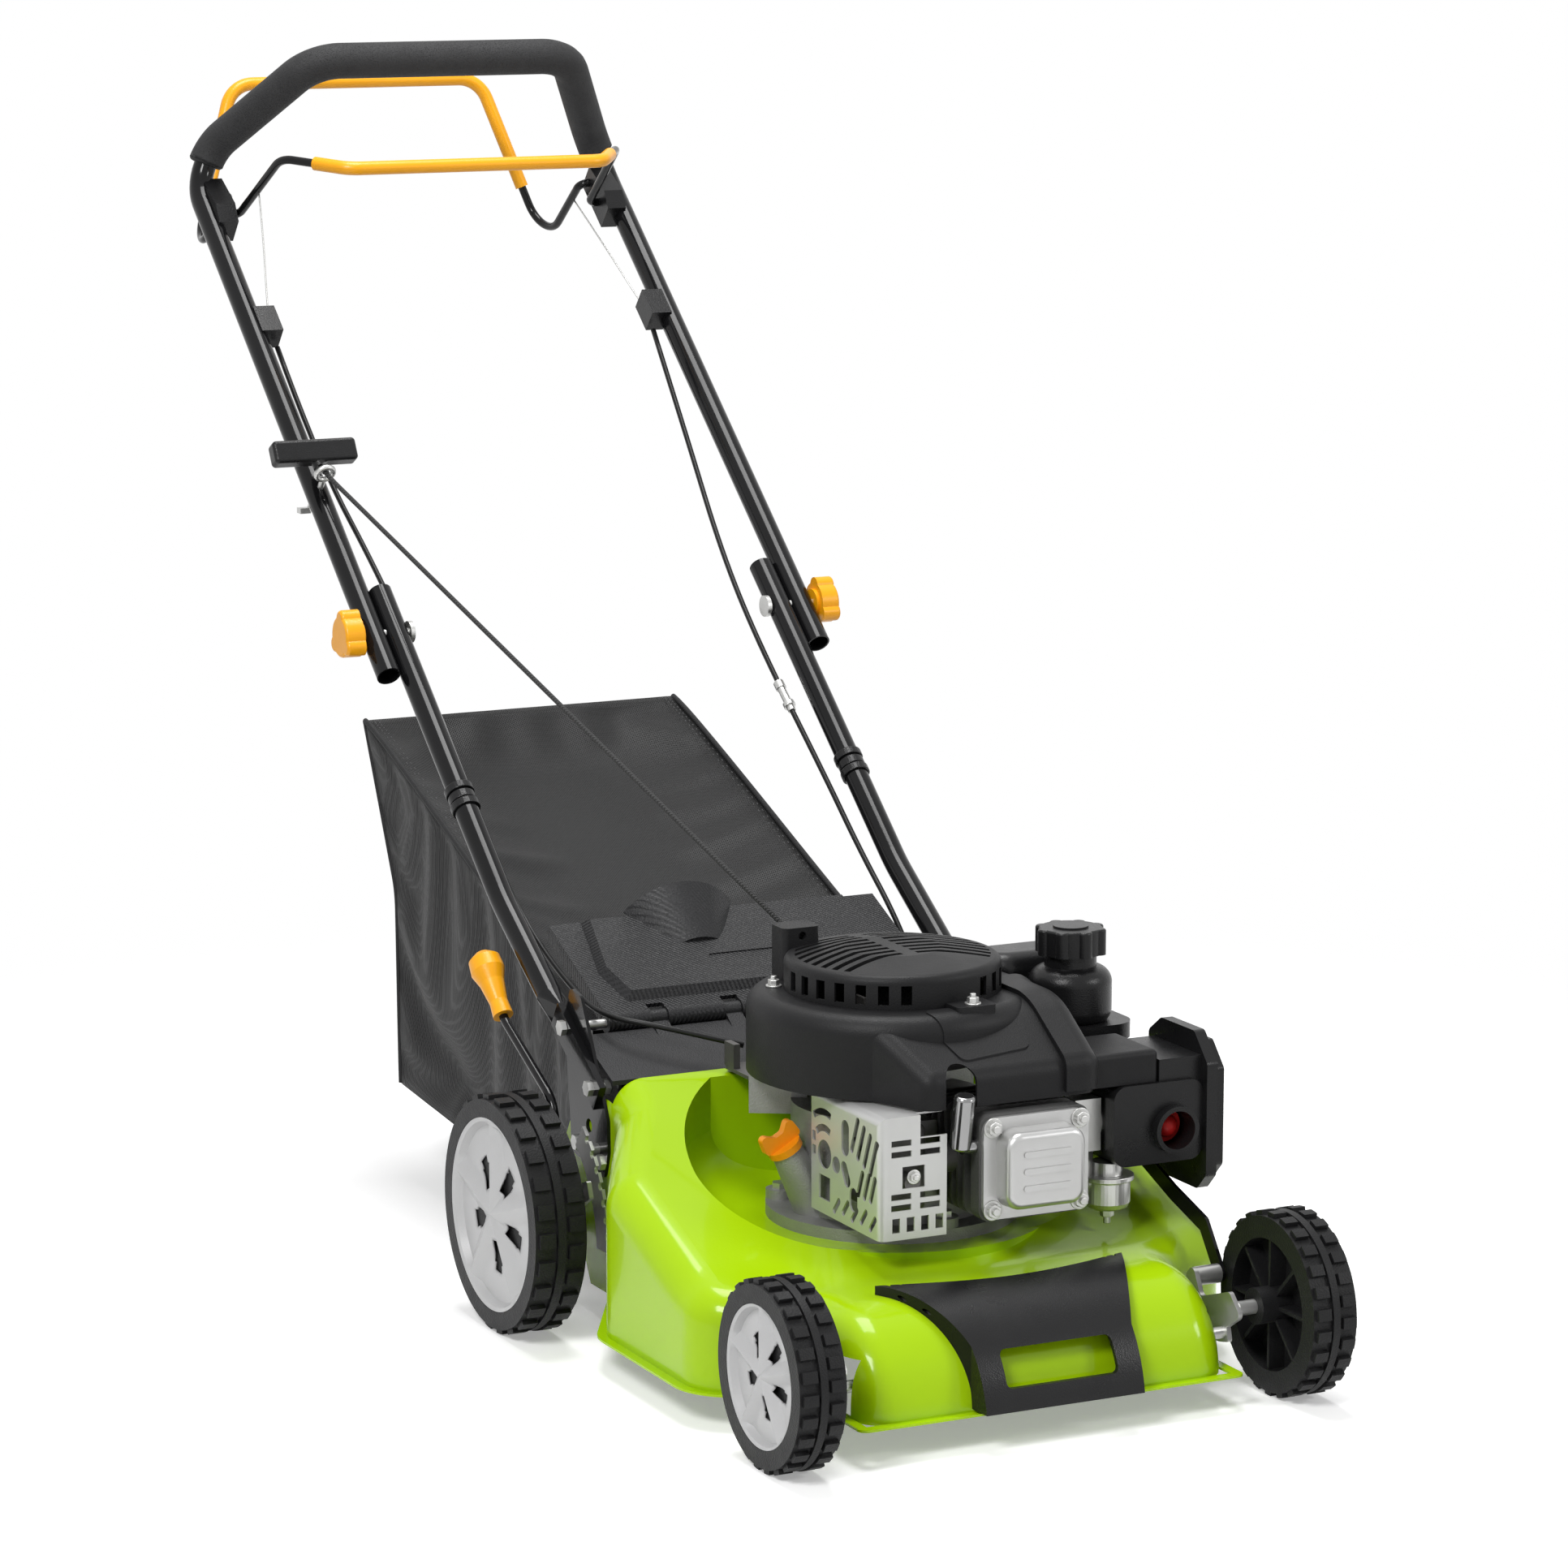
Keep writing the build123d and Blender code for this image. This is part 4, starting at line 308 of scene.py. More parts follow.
tyre_black = ((0.006, 0.006, 0.0065), (0.012, 0.012, 0.0125))
soft_black = ((0.007, 0.007, 0.007), (0.012, 0.012, 0.012))
red = ((0.5, 0.014, 0.012), (0.42, 0.01, 0.01))
tyre_rubber = rubber("tyre_rubber", *tyre_black, rough=0.45, grain=650.0, depth=0.0002)
soft_rubber = rubber("soft_rubber", *soft_black, rough=0.42, grain=900.0, depth=0.0001)
red_rubber = rubber("red_rubber", *red, rough=0.3, grain=700.0, depth=0.00005)
dress(tyre_rubber, *[f"{name}_wheel" for name in wheel_names])
dress(soft_rubber, "drive_belt", "control_cables", "starter_rope", "foam_grip", "catcher_bag")
dress(red_rubber, "primer_bulb")

# %% [markdown]
# ## Cables and the starter rope
# A cable is a length of something springy, so its line is one smooth curve. The
# route's corners are the control points of a NURBS spline, and the tube is made
# from it, with its ends closed and its doubled points merged.


# %% Cord helpers
def route_curve(name, route, radius):
    """A smooth curve through a route's control points, in millimetres."""
    data = bpy.data.curves.new(name, "CURVE")
    data.dimensions = "3D"
    data.resolution_u = 8
    data.bevel_depth = radius / 1000
    data.bevel_resolution = 3
    data.use_fill_caps = True
    spline = data.splines.new("NURBS")
    spline.points.add(len(route) - 1)
    for point, (x, y, z) in zip(spline.points, route):
        point.co = (x / 1000, y / 1000, z / 1000, 1)
    spline.order_u = 3
    spline.use_endpoint_u = True
    return bpy.data.objects.new(name, data)


def add_piece(name, mesh, finish):
    """Puts a finished mesh into the scene at the origin."""
    piece = bpy.data.objects.new(name, mesh)
    bpy.context.scene.collection.objects.link(piece)
    mesh.materials.clear()
    mesh.materials.append(finish.material)
    return piece


def make_cord(name, route, radius, finish):
    """The tube's mesh and the line that it follows."""
    curve = route_curve(name + "_route", route, radius)
    tube = bpy.data.meshes.new_from_object(curve)
    curve.data.bevel_depth = 0
    line = [tuple(v.co) for v in bpy.data.meshes.new_from_object(curve).vertices]
    bpy.data.objects.remove(curve)
    bm = bmesh.new()
    bm.from_mesh(tube)
    bmesh.ops.remove_doubles(bm, verts=bm.verts, dist=1e-6)
    bm.to_mesh(tube)
    bm.free()
    tube.shade_smooth()
    piece = add_piece(name, tube, finish)
    length = sum(math.dist(a, b) for a, b in zip(line, line[1:]))
    print(f"{name}: {length:.3f} m")
    return piece, line, length


# %% [markdown]
# ### The two control cables
# Steel wire runs inside a springy sheath from the handle to the engine's brake and to
# the gearbox. Both cross the handle's fold, between the chassis and the upper handle.

# %% Control cables
brake_route = [
    (-195, 888, 765), (-190, 800, 668), (-174, 690, 572), (-170, 600, 496),
    (-174, 470, 392), (-174, 400, 336), (-171, 330, 290), (-170, 244, 262),
    (-164, 206, 256), (-130, 176, 251), (-66, 146, 234),
]
drive_route = [
    (195, 888, 765), (190, 800, 668), (174, 690, 572), (170, 600, 496),
    (174, 470, 392), (174, 400, 336), (173, 330, 290), (173, 284, 244),
    (172, 264, 180), (171, 256, 108), (150, 254, 93), (90, 252, 91), (38, 249, 93),
]
sheath_black = ((0.006, 0.006, 0.006), (0.01, 0.01, 0.01))
sheath = rubber("cable_sheath", *sheath_black, rough=0.3, grain=800.0, depth=0.000004)
cable_lines = {}
for name, route in (("brake_cable", brake_route), ("drive_cable", drive_route)):
    cable, line, length = make_cord(name, route, 2.5, sheath)
    cable_lines[name] = line
    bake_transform(cable)
    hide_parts("control_cables")

# %% [markdown]
# ### The starter rope
# A braided rope runs from the starter housing up to its guide on the handle. Slanted
# waves stand for the braid. A short tail goes on from the guide to the pull grip.

# %% Starter rope
rope_route = [(-55, 84, 345), (-202, 668, 640.6), (-215, 717.6, 665.6), (-217.5, 721.3, 672.1)]
rope_weave = Finish("rope_weave", Roughness=0.75)
strand = (rope_weave.axis("Y") * 2600 + rope_weave.axis("X") * 1900).sine()
rope_weave.put("Base Color", rope_weave.tint(strand.step(-1, 1), (0.006, 0.006, 0.006), (0.03, 0.03, 0.03)))
rope_weave.relief(strand, 0.0004)
pull_way = Vector((-0.31466, 0.46524, 0.82737))
tail_step = 1.2
tail_points = 12
tail_route = [tuple(Vector(rope_route[-2]) + pull_way * tail_step * k) for k in range(tail_points)]
tail, line, length = make_cord("rope_tail", tail_route, 2.1, rope_weave)
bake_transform(tail)
rope, line, length = make_cord("pull_rope", rope_route, 2.2, rope_weave)
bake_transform(rope)
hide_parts("starter_rope")

# %% [markdown]
# ## The foam grip
# A closed-cell sleeve covers the handle's loop. It follows the tube's bends, its
# ends are cut square and soften at the rim, and its skin is full of pinholes, which
# small cells with a threshold press into it.

# %% Foam grip
foam = Finish("foam", Specular_IOR_Level=0.3)
pores = foam.cells(900.0)
foam.put("Base Color", foam.tint(foam.noise(40.0, 4.0), (0.021, 0.021, 0.022), (0.034, 0.034, 0.035)))
foam.put("Roughness", 0.62 + foam.noise(60.0) * 0.15)
foam.relief(pores.step(0.1, 0.45) + foam.noise(260.0, 3.0) * 0.8, 0.0005)
print("foam finish:", len(foam.tree.nodes), "nodes")

# %% [markdown]
# ### The sleeve
# The sleeve hugs the tube through four bends. Modelling it straight and bending it
# would take a lattice. A round section swept along the handle's own line is simpler,
# because a Bezier curve's bevel can start and stop part of the way round a bend. The
# cut ends are then rounded.

# %% Foam sleeve
handle_route = [(-215, 567.4, 499.6), (-215, 1067, 925), (-131, 947, 1028.5)]
handle_route += [(-x, y, z) for x, y, z in reversed(handle_route)]
bend_radius = 45
grip_start = 0.55 / 7  # a share of the line's seven runs, so just past half of the first bend


def bend_spline(data, route, radius, first_share):
    """A Bezier line with round corners, which starts part of the way round its first corner."""
    corners = []
    for before, here, after in zip(route, route[1:], route[2:]):
        come = (Vector(here) - Vector(before)).normalized()
        go = (Vector(after) - Vector(here)).normalized()
        angle = come.angle(go)
        reach = radius * math.tan(angle / 2)
        pull = radius * 4 / 3 * math.tan(angle / 4)
        corners.append((Vector(here) - come * reach, Vector(here) + go * reach, come, go, pull))
    knots = data.splines.new("BEZIER").bezier_points
    knots.add(2 * len(corners) - 1)
    for k, (enter, leave, come, go, pull) in enumerate(corners):
        for point, place, way in ((knots[2 * k], enter, come), (knots[2 * k + 1], leave, go)):
            point.handle_left_type = point.handle_right_type = "FREE"
            point.co = place / 1000
            point.handle_left = (place - way * pull) / 1000
            point.handle_right = (place + way * pull) / 1000
    data.bevel_factor_start = first_share
    data.bevel_factor_end = 1 - first_share


data = bpy.data.curves.new("foam_route", "CURVE")
data.dimensions = "3D"
data.resolution_u = 24
data.bevel_depth = 0.017
data.bevel_resolution = 8
data.use_fill_caps = True
bend_spline(data, handle_route, bend_radius, grip_start)
source = bpy.data.objects.new("foam_route", data)
mesh = bpy.data.meshes.new_from_object(source)
bpy.data.objects.remove(source)
bm = bmesh.new()
bm.from_mesh(mesh)
bmesh.ops.remove_doubles(bm, verts=bm.verts, dist=1e-6)
ends = [edge for edge in bm.edges if len(edge.link_faces) == 2 and edge.calc_face_angle(0) > 1.0]
bmesh.ops.bevel(bm, geom=ends, offset=0.004, affect="EDGES", segments=4, profile=0.5, material=-1)
bm.to_mesh(mesh)
bm.free()
mesh.shade_smooth()
grip = add_piece("foam_sleeve", mesh, foam)
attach(grip, "upper_frame")
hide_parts("foam_grip")
print("foam sleeve ends rounded:", len(ends), "edges")

# %% [markdown]
# ## The grass bag
# The bag hangs from a stiff mouth frame. Its top is an open knit that lets air out,
# and its sides and bottom are plain woven cloth. The knit's holes are two crossed
# sine waves with a threshold, shaded in rows. The weave is the same without the
# threshold, at half the pitch.

# %% Cloth
knit = Finish("knit", Specular_IOR_Level=0.25, Sheen_Weight=0.08)
holes = ((knit.axis("X") * 2600).sine() * (knit.axis("Y") * 2600).sine()).step(0.1, 0.6)
rows = (knit.axis("Y") * 1250 + knit.noise(14.0) * 5).sine().step(-1, 1)
shade = holes * 0.6 + rows * 0.25 + knit.noise(7.0, 3.0) * 0.3
knit.put("Base Color", knit.tint(shade, (0.0125, 0.0125, 0.013), (0.0025, 0.0025, 0.0025)))
knit.put("Roughness", 0.5 + holes * 0.3)
knit.relief(1 - holes, 0.0006)
woven = Finish("woven", Specular_IOR_Level=0.15, Sheen_Weight=0.03)
warp = (woven.axis("Y") * 5200).sine() * (woven.axis("Z") * 5200).sine()
woven.put("Base Color", woven.tint(woven.noise(16.0, 3.0), (0.008, 0.008, 0.0085), (0.013, 0.013, 0.0135)))
woven.put("Roughness", 0.62 + woven.noise(30.0) * 0.14)
woven.relief(warp + woven.noise(28.0, 3.0) * 6, 0.0003)
print("cloth finishes:", len(knit.tree.nodes), "and", len(woven.tree.nodes), "nodes")

# %% [markdown]
# ### The bag's shell
# The real bag is cut from flat panels and sewn. Here a grid is laid out as a tube
# from the mouth to the rear, lofted between sections that lean back more and more,
# and a second grid closes it. Its points meet at the seams and merge there.

# %% Bag shell
bag_half = 160
bag_steps = 18
seam_angle = 0.6
bottom_line = [(248, 114), (400, 93), (547, 80), (690, 92)]
knee_line = [(248, 184), (694, 274)]
top_line = [(248, 234), (394, 284), (580, 356), (768, 425)]


def along(points, share):
    """A point part of the way along a line of evenly counted runs."""
    place = share * (len(points) - 1)
    k = min(int(place), len(points) - 2)
    return Vector(points[k]).lerp(Vector(points[k + 1]), place - k)


def wall(reach, share):
    """A point (Y, Z) on the side wall's section at some reach from the mouth to the rear."""
    return along([along(bottom_line, reach), along(knee_line, reach), along(top_line, reach)], share)


def tube_point(reach, around):
    """The bag's open tube: up one side, over the top, down the other side and back below."""
    panel = min(int(around), 3)
    share = around - panel
    side = (-bag_half, bag_half * (2 * share - 1), bag_half, bag_half * (1 - 2 * share))[panel]
    return (side, *wall(reach, (share, 1, 1 - share, 0)[panel]))


def rear_point(share, rise):
    """The panel that closes the tube's rear end."""
    return (bag_half * (2 * share - 1), *wall(1, rise))


def cloth_grid(bm, columns, rows, place):
    """A grid whose points are laid out by a function of two shares."""
    grown = bmesh.ops.create_grid(bm, x_segments=columns, y_segments=rows, size=1)["verts"]
    for vert in grown:
        vert.co = Vector(place((vert.co.x + 1) / 2, (vert.co.y + 1) / 2)) / 1000


bm = bmesh.new()
crease = bm.edges.layers.float.new("crease_edge")
cloth_grid(bm, 2 * bag_steps, 4 * bag_steps, lambda u, v: tube_point(u, 4 * v))
cloth_grid(bm, bag_steps, bag_steps, rear_point)
bmesh.ops.remove_doubles(bm, verts=bm.verts, dist=1e-5)
bmesh.ops.recalc_face_normals(bm, faces=bm.faces)
bm.normal_update()
for face in bm.faces:
    face.material_index = 0 if face.normal.z > 0.5 else 1
    face.smooth = True
bm.verts.index_update()
seams = [edge for edge in bm.edges if edge.is_boundary or edge.calc_face_angle(0) > seam_angle]
held = sorted({vert.index for edge in seams for vert in edge.verts})
cut_area = sum(face.calc_area() for face in bm.faces)
for edge in seams:
    edge[crease] = 0.9
mesh = bpy.data.meshes.new("grass_bag")
bm.to_mesh(mesh)
bm.free()
bag = add_piece("grass_bag", mesh, knit)
mesh.materials.append(woven.material)
print("bag points:", len(mesh.vertices), "held at seams:", len(held), f"cloth {cut_area:.3f} m2")

# %% [markdown]
# ### Letting the cloth hang
# The seams and the mouth are held by the bag's wire frame, and the panels between
# them are cut a little full. A short cloth simulation lets them sag and wrinkle, and
# its last frame becomes the mesh.


# %% Cloth simulation
def hang(piece, held, slack, frames, limit):
    """Runs a cloth simulation on a piece and keeps its last frame, with a cap on each move."""
    start = [vert.co.copy() for vert in piece.data.vertices]
    pins = piece.vertex_groups.new(name="held")
    pins.add(held, 1.0, "REPLACE")
    cloth = piece.modifiers.new("hang", "CLOTH")
    cloth.settings.vertex_group_mass = "held"
    cloth.settings.quality = 6
    cloth.settings.mass = 0.25
    cloth.settings.tension_stiffness = 12
    cloth.settings.compression_stiffness = 12
    cloth.settings.shear_stiffness = 6
    cloth.settings.bending_stiffness = 0.6
    cloth.settings.shrink_min = -slack
    cloth.collision_settings.use_collision = False
    cloth.point_cache.frame_end = frames
    scene = bpy.context.scene
    for frame_number in range(1, frames + 1):
        scene.frame_set(frame_number)
    settled = piece.evaluated_get(bpy.context.evaluated_depsgraph_get()).to_mesh()
    ends = [vert.co.copy() for vert in settled.vertices]
    piece.modifiers.remove(cloth)
    piece.vertex_groups.remove(pins)
    furthest = 0.0
    for vert, before, after in zip(piece.data.vertices, start, ends):
        move = after - before
        furthest = max(furthest, move.length)
        if move.length > limit:
            move *= limit / move.length
        vert.co = before + move
    scene.frame_set(1)
    print(f"{piece.name}: the cloth moved {1000 * furthest:.0f} mm at most")


hang(bag, held, slack=0.03, frames=28, limit=0.03)
smoother = bag.modifiers.new("smoother", "SUBSURF")
smoother.levels = smoother.render_levels = 1
wall_thickness = bag.modifiers.new("cloth_thickness", "SOLIDIFY")
wall_thickness.thickness = 0.0015
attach(bag, "catcher")
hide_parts("catcher_bag")

# %% [markdown]
# ## Piping and stitches on the bag
# A cord sewn into the long seams keeps the bag's edges straight, and two rows of
# thread run beside it. The piping is a bevelled curve along the seam. One small
# stitch is copied along the same line, turned to follow it.


# %% Seams
def stitch_row(bm, line, shift, step, size):
    """Copies of one short stitch along a line."""
    points = [Vector(p) + Vector(shift) for p in line]
    travelled = 0.0
    for a, b in zip(points, points[1:]):
        run = b - a
        travelled += run.length
        if travelled < step:
            continue
        travelled = 0.0
        turn = run.to_track_quat("Y", "Z").to_matrix().to_4x4()
        place = Matrix.Translation(a) @ turn @ Matrix.Diagonal((*size, 1))
        bmesh.ops.create_icosphere(bm, subdivisions=1, radius=1, matrix=place)


seam_route = [
    (248, 235), (320, 259), (394, 285), (480, 318), (580, 357), (680, 395), (750, 420), (768, 424),
]
rear_route = [
    (768, 424), (731, 350), (706, 299), (694, 274), (693, 240), (692, 180), (691, 120), (690, 93),
]
seam_x = 159
stitch_size = (0.0006, 0.0017, 0.0005)
piping_black = ((0.012, 0.012, 0.0125), (0.02, 0.02, 0.021))
piping = rubber("piping", *piping_black, rough=0.5, grain=1200.0, depth=0.0003)
thread = Finish("thread", Roughness=0.6)
thread.put("Base Color", thread.tint(thread.noise(300.0), (0.03, 0.03, 0.031), (0.05, 0.05, 0.052)))
bm = bmesh.new()
for side in (-1, 1):
    for label, route in (("top", seam_route), ("rear", rear_route)):
        where = "left" if side > 0 else "right"
        seam = [(side * seam_x, y, z) for y, z in route]
        bead, line, _ = make_cord(f"{label}_piping_{where}", seam, 2.6, piping)
        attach(bead, "catcher")
        if label == "top":
            for inset in (0.007, 0.011):
                stitch_row(bm, line, (-side * inset, 0, 0.0006), 0.004, stitch_size)
mesh = bpy.data.meshes.new("seam_stitches")
bm.to_mesh(mesh)
bm.free()
stitches = add_piece("seam_stitches", mesh, thread)
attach(stitches, "catcher")
print("stitch faces:", len(mesh.polygons))

# %% [markdown]
# ## Control wires
# Above its stop each cable shows its bare inner wire, which hooks into the leg of
# its bail.

# %% Inner wires
wires = {
    "brake_wire": ("brake_lever", [(-199, 896, 774), (-194, 915, 800), (-184, 950, 868), (-179.2, 972, 905)]),
    "drive_wire": ("drive_lever", [(199, 896, 774), (196, 925, 792), (190, 985, 836), (186, 1062, 884)]),
}
for name, (lever, route) in wires.items():
    wire, line, length = make_cord(name, route, 0.8, zinc)
    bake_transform(wire)

# %% [markdown]
# ## Cable clips
# Black snap clips hold the cables to the tubes: two bands round the tube with a
# saddle between them. A band is a short ring, made by spinning a small rectangle.
# The same spin serves every turned shape below.


# %% Turned shapes
def spin_line(bm, points, axis, steps, closed=False):
    """A line of points, spun once round an axis through the origin."""
    verts = [bm.verts.new(point) for point in points]
    ends = verts[1:] + verts[:1] if closed else verts[1:]
    edges = [bm.edges.new(pair) for pair in zip(verts, ends)]
    bmesh.ops.spin(
        bm, geom=verts + edges, cent=(0, 0, 0), axis=axis, angle=math.tau, steps=steps, use_merge=True
    )
    return verts


def ring(bm, centre, axis, inner, outer, length):
    """A short collar round an axis, spun from its cross-section."""
    turn = Vector(axis).to_track_quat("Z", "Y").to_matrix().to_4x4()
    place = Matrix.Translation(Vector(centre) / 1000) @ turn
    half = length / 2
    section = [(inner, -half), (outer, -half), (outer, half), (inner, half)]
    points = [(r / 1000, 0, h / 1000) for r, h in section]
    verts = spin_line(bm, points, axis=(0, 0, 1), steps=32, closed=True)
    found = set(verts)
    grow = list(verts)
    while grow:
        for edge in grow.pop().link_edges:
            for vert in edge.verts:
                if vert not in found:
                    found.add(vert)
                    grow.append(vert)
    bmesh.ops.transform(bm, matrix=place, verts=list(found))


def finish_mesh(name, bm, finish, body, bevel=0.0):
    """Closes a bmesh into a piece that rides on a body."""
    bmesh.ops.remove_doubles(bm, verts=bm.verts, dist=1e-6)
    bmesh.ops.recalc_face_normals(bm, faces=bm.faces)
    mesh = bpy.data.meshes.new(name)
    bm.to_mesh(mesh)
    bm.free()
    piece = add_piece(name, mesh, finish)
    if bevel:
        soften = piece.modifiers.new("soft_edges", "BEVEL")
        soften.width = bevel
        soften.segments = 2
        soften.limit_method = "ANGLE"
    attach(piece, body)
    print(name, len(mesh.polygons), "faces")


# %% [markdown]
# ### The clips on the lower tubes
# The tube's own line says how high each band sits, so the bands hug it.

# %% Clips
tube_start = (365, 329)
tube_run = (240.5, 203)
tube_x = 192.5
clip_bore = 11.02
lower_axis = Vector((0, *tube_run)).normalized()


def tube_height(y):
    """The height of a lower handle tube's middle line, in mm."""
    return tube_start[1] + (y - tube_start[0]) * tube_run[1] / tube_run[0]


bm = bmesh.new()
for side in (-1, 1):
    for y in (447, 461):
        ring(bm, (side * tube_x, y, tube_height(y)), lower_axis, clip_bore, 13.2, 7)
    ring(bm, (side * tube_x, 454, tube_height(454)), lower_axis, clip_bore, 12.2, 8)
finish_mesh("cable_clips", bm, black_plastic, "chassis", 0.0006)

# %% [markdown]
# ### The cable's adjuster
# Part of the way down, the drive cable passes a threaded barrel with a lock nut, which
# takes up its slack. Three collars round the cable's own line make it.

# %% Adjuster
bm = bmesh.new()
line = [Vector(point) for point in cable_lines["drive_cable"]]
low, high = [min(line, key=lambda point: abs(point.y - y)) for y in (0.532, 0.566)]
middle = (low + high) / 2 * 1000
way = (high - low).normalized()
cable_bore = 2.52
ring(bm, middle, way, cable_bore, 3.8, 34)
ring(bm, middle - way * 9, way, cable_bore, 5.6, 5)
ring(bm, middle + way * 15, way, cable_bore, 5.0, 8)
finish_mesh("cable_adjuster", bm, zinc, "chassis", 0.0004)

# %% [markdown]
# ## Wheel caps
# Each wheel is closed by a snap-in cap: a five-armed star with a sharp ridge along
# every arm and a window in each valley, through which the dark wheel shows. A line
# spun round the axle gives a fine polar grid. Its points are lifted to the star's
# height, and the faces inside the windows are taken out.


# %% Wheel caps
arms = 5
sector = math.tau / arms
cap_depth = 10
floor_height = 2.4
arm_height = 7.4
arm_width = 0.21
arm_taper = 0.07
ridge_power = 0.9
rim_start = 0.93
rim_band = 0.07
skirt_depth = 9.8
window_inner = 0.29
window_outer = 0.64
window_angle = 17
window_taper = 12


def star_height(share, angle):
    """How far the cap stands out, in mm, at a share of its radius and an angle from an arm."""
    across = share * math.sin(abs(angle))
    arm = max(0.0, 1 - across / (arm_width - arm_taper * share))
    rim = max(0.0, (share - rim_start) / rim_band)
    return floor_height + arm_height * max(arm ** ridge_power, min(1.0, 2 * rim))


def star_mesh(outer_x, reach):
    """The star's face as a polar grid with its windows open, round the X axis in mm."""
    bm = bmesh.new()
    spin_line(bm, [(0, 0, reach * k / 24) for k in range(25)], axis=(1, 0, 0), steps=120)
    bmesh.ops.remove_doubles(bm, verts=bm.verts, dist=1e-6)
    for vert in bm.verts:
        share = math.hypot(vert.co.y, vert.co.z) / reach
        angle = (math.atan2(vert.co.y, vert.co.z) + sector / 2) % sector - sector / 2
        vert.co.x = outer_x - cap_depth + star_height(share, angle)
    gone = []
    for face in bm.faces:
        middle = face.calc_center_median()
        share = math.hypot(middle.y, middle.z) / reach
        angle = math.atan2(middle.y, middle.z) % sector - sector / 2
        half_window = math.radians(window_angle - window_taper * share)
        if window_inner < share < window_outer and abs(angle) < half_window:
            gone.append(face)
    bmesh.ops.delete(bm, geom=gone, context="FACES")
    return bm


def wheel_cap(name, side, outer_x, y, radius, reach):
    """One star with a skirt round it, set on its wheel."""
    bm = star_mesh(outer_x, reach)
    rim = [edge for edge in bm.edges if edge.is_boundary and edge.verts[0].co.yz.length > 0.99 * reach]
    skirt = bmesh.ops.extrude_edge_only(bm, edges=rim)["geom"]
    for vert in (item for item in skirt if isinstance(item, bmesh.types.BMVert)):
        vert.co.x = outer_x - skirt_depth
    scale = Matrix.Diagonal((side / 1000, 0.001, 0.001, 1))
    place = Matrix.Translation((0, y / 1000, radius / 1000)) @ scale
    bmesh.ops.transform(bm, matrix=place, verts=bm.verts)
    bmesh.ops.recalc_face_normals(bm, faces=bm.faces)
    if sum(face.normal.x * face.calc_area() for face in bm.faces) * side < 0:
        bmesh.ops.reverse_faces(bm, faces=bm.faces)
    mesh = bpy.data.meshes.new(name)
    bm.to_mesh(mesh)
    bm.free()
    mesh.shade_smooth()
    mesh.set_sharp_from_angle(angle=math.radians(24))
    cap = add_piece(name, mesh, pale_plastic)
    thick = cap.modifiers.new("wall", "SOLIDIFY")
    thick.thickness = 0.0018
    return cap


# %% [markdown]
# ### One cap on each wheel
# The caps turn with their wheels and stand for the plainer ones of the frame.

# %% Caps on the wheels
tyre_band = 19.4
for end, outer_x, y, radius in (("front", 248.0, -257.0, 76.2), ("rear", 283.0, 188.0, 101.6)):
    for where, side in (("left", 1), ("right", -1)):
        cap = wheel_cap(f"{end}_{where}_star", side, outer_x, y, radius, radius - tyre_band)
        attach(cap, f"{end}_{where}")
        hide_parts(f"{end}_{where}_hubcap")
        print(cap.name, len(cap.data.polygons), "faces")

# %% [markdown]
# ## The float bowl
# Below the air filter hangs the bowl that holds a little fuel for the engine. It is
# turned on a lathe, so its outline is spun once round, with a drain bolt below.

# %% Float bowl
bowl_outline = [
    (0, 133), (13, 133), (17, 135), (19, 139), (19, 157),
    (22, 158), (22, 162), (13, 162), (13, 173), (0, 173),
]
bowl_place = (0.136, -0.122, 0)
bm = bmesh.new()
spin_line(bm, [(r / 1000, 0, z / 1000) for r, z in bowl_outline], axis=(0, 0, 1), steps=40)
for low, high, r, sides in ((126, 133, 6, 6), (120, 126, 3, 16)):
    lift = Matrix.Translation((0, 0, (low + high) / 2000))
    size = {"radius1": r / 1000, "radius2": r / 1000, "depth": (high - low) / 1000}
    bmesh.ops.create_cone(bm, cap_ends=True, segments=sides, matrix=lift, **size)
bmesh.ops.translate(bm, verts=bm.verts, vec=bowl_place)
finish_mesh("float_bowl", bm, zinc, "chassis", 0.0005)

# %% [markdown]
# ## Small fasteners
# Flange nuts on studs show on the engine. A hexagon is a cone with six sides and no
# taper, with a round flange below it and the end of the stud above.


# %% Nuts
def hex_nut(bm, place, axis, radius, height):
    """A flange nut on a short stud."""
    turn = Vector(axis).to_track_quat("Z", "Y").to_matrix().to_4x4()
    seat = Matrix.Translation(Vector(place) / 1000) @ turn
    flange = (radius * 1.35, 0, height * 0.25, 24)
    hexagon = (radius, height * 0.25, height, 6)
    stud = (radius * 0.5, height, height * 1.5, 16)
    for r, low, high, sides in (flange, hexagon, stud):
        lift = Matrix.Translation((0, 0, (low + high) / 2000))
        size = {"radius1": r / 1000, "radius2": r / 1000, "depth": (high - low) / 1000}
        bmesh.ops.create_cone(bm, cap_ends=True, segments=sides, matrix=seat @ lift, **size)


bm = bmesh.new()
up_way = (0, 0, 1)
front_way = (0, -1, 0)
for place in ((-88, 43, 308), (20, -103, 312), (100, 45, 308)):
    hex_nut(bm, place, up_way, 5, 6)
hex_nut(bm, (-58, -150, 188), front_way, 4.5, 4)
for x in (6, 86):
    for z in (156, 224):
        hex_nut(bm, (x, -164, z), front_way, 6.2, 5.6)
finish_mesh("engine_nuts", bm, zinc, "chassis", 0.0004)

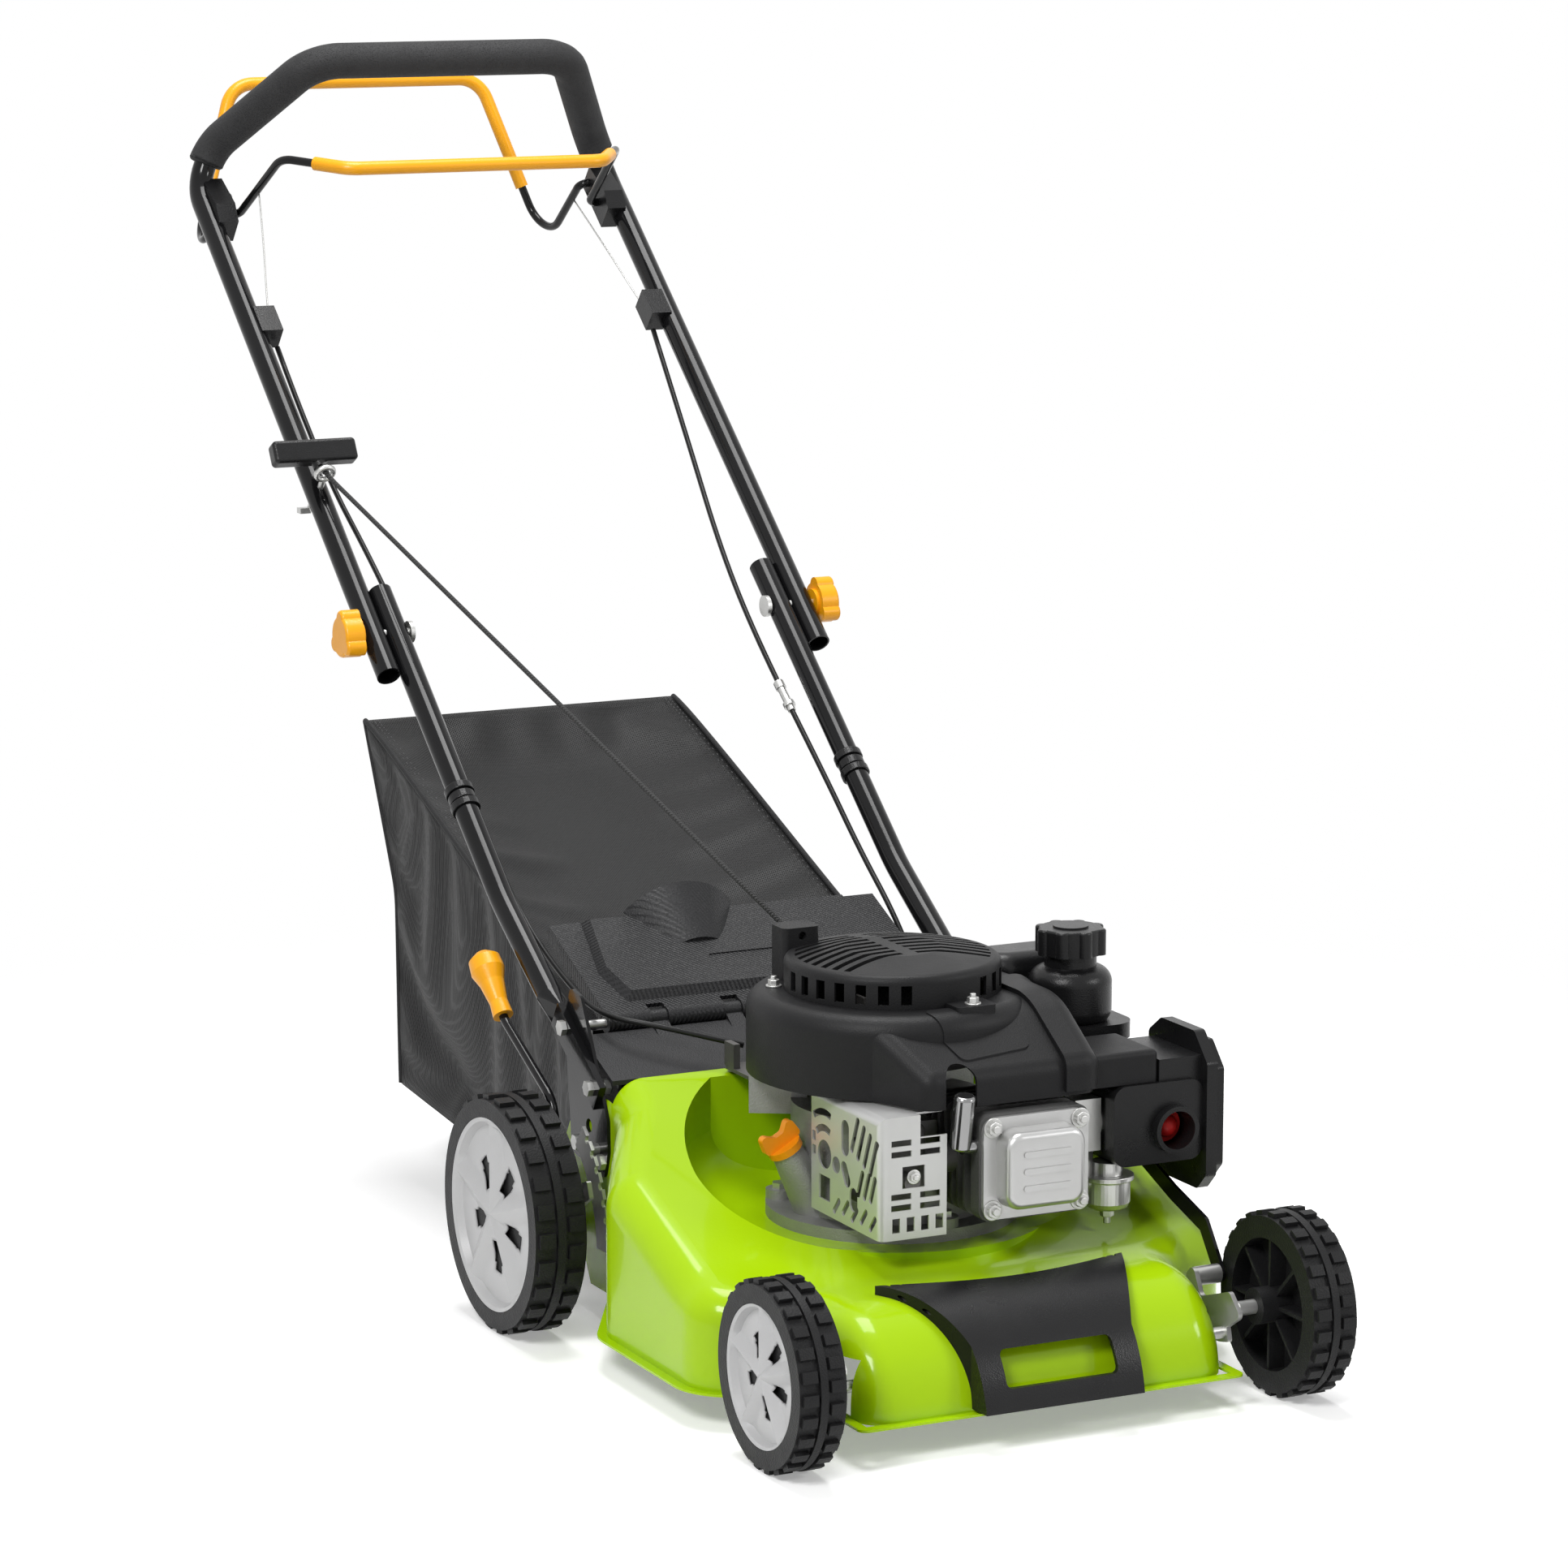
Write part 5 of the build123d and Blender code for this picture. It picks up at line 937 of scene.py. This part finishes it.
# %% [markdown]
# ## The stage
# A pale floor, as in a product studio. It fades out round the mower, where the world
# behind it is white. It glows a little to the camera and in reflections, and not as a
# source of light, which keeps the shadows below the deck.


# %% Floor
def background_rays(tree):
    """1 for rays that show the background, 0 for rays that only carry its light."""
    rays = tree.nodes.new("ShaderNodeLightPath")
    shown = rays.outputs["Is Camera Ray"]
    for label in ("Is Glossy Ray", "Is Transmission Ray"):
        either = tree.nodes.new("ShaderNodeMath")
        either.operation = "MAXIMUM"
        tree.links.new(shown, either.inputs[0])
        tree.links.new(rays.outputs[label], either.inputs[1])
        shown = either.outputs[0]
    return shown


floor_finish = Finish("floor", Roughness=0.9, Emission_Strength=0.3)
floor_tint = floor_finish.tint(floor_finish.noise(2.0), (0.9, 0.9, 0.9), (0.92, 0.92, 0.92))
floor_finish.put("Base Color", floor_tint)
floor_middle = (0, 0.25, 0)
away = {0: floor_finish.place, 1: floor_middle}
offset = floor_finish.node("ShaderNodeVectorMath", {"operation": "SUBTRACT"}, away)
reach = floor_finish.node("ShaderNodeVectorMath", {"operation": "LENGTH"}, {0: offset}, "Value")
floor_finish.put("Alpha", 1 - reach.step(0.7, 1.5))
floor_finish.put("Emission Color", Value(floor_finish, background_rays(floor_finish.tree)))
bm = bmesh.new()
bmesh.ops.create_circle(bm, cap_ends=True, segments=64, radius=2.2)
mesh = bpy.data.meshes.new("floor")
bm.to_mesh(mesh)
bm.free()
floor = add_piece("floor", mesh, floor_finish)
print("floor points:", len(mesh.vertices))

# %% [markdown]
# ### The white world
# A product picture has a white ground, but a world that bright would wash out the black
# paint. So the world is white to the camera and to reflections, and much dimmer as a
# source of light.

# %% World
world = bpy.data.worlds.new("studio")
bpy.context.scene.world = world
world.use_nodes = True
tree = world.node_tree
level = tree.nodes.new("ShaderNodeMath")
level.operation = "MULTIPLY_ADD"
tree.links.new(background_rays(tree), level.inputs[0])
world_light = 0.25
level.inputs[1].default_value = 1 - world_light
level.inputs[2].default_value = world_light
tree.links.new(level.outputs[0], tree.nodes["Background"].inputs["Strength"])
tree.nodes["Background"].inputs["Color"].default_value = (1, 1, 1, 1)
print("world nodes:", len(tree.nodes))

# %% [markdown]
# ### Three soft lamps
# Large lamps make the long soft streaks on the tubes: a main one at the camera's side,
# a weak one opposite and one from above.

# %% Lamps
lamp_aim = Vector((0, 0.2, 0.35))
lamps = [
    ("key", (-2.2, -1.6, 2.6), 1.0, 78.0),
    ("fill", (2.4, -2.2, 1.8), 0.8, 28.0),
    ("top", (0.1, 0.6, 3.2), 1.4, 70.0),
]
for name, place, size, power in lamps:
    lamp = bpy.data.lights.new(name, "AREA")
    lamp.energy = power
    lamp.size = size
    holder = bpy.data.objects.new(name, lamp)
    holder.location = place
    holder.rotation_euler = (lamp_aim - Vector(place)).to_track_quat("-Z", "Y").to_euler()
    bpy.context.scene.collection.objects.link(holder)
bpy.context.scene.view_settings.view_transform = "Standard"
print("lamps:", len(lamps))
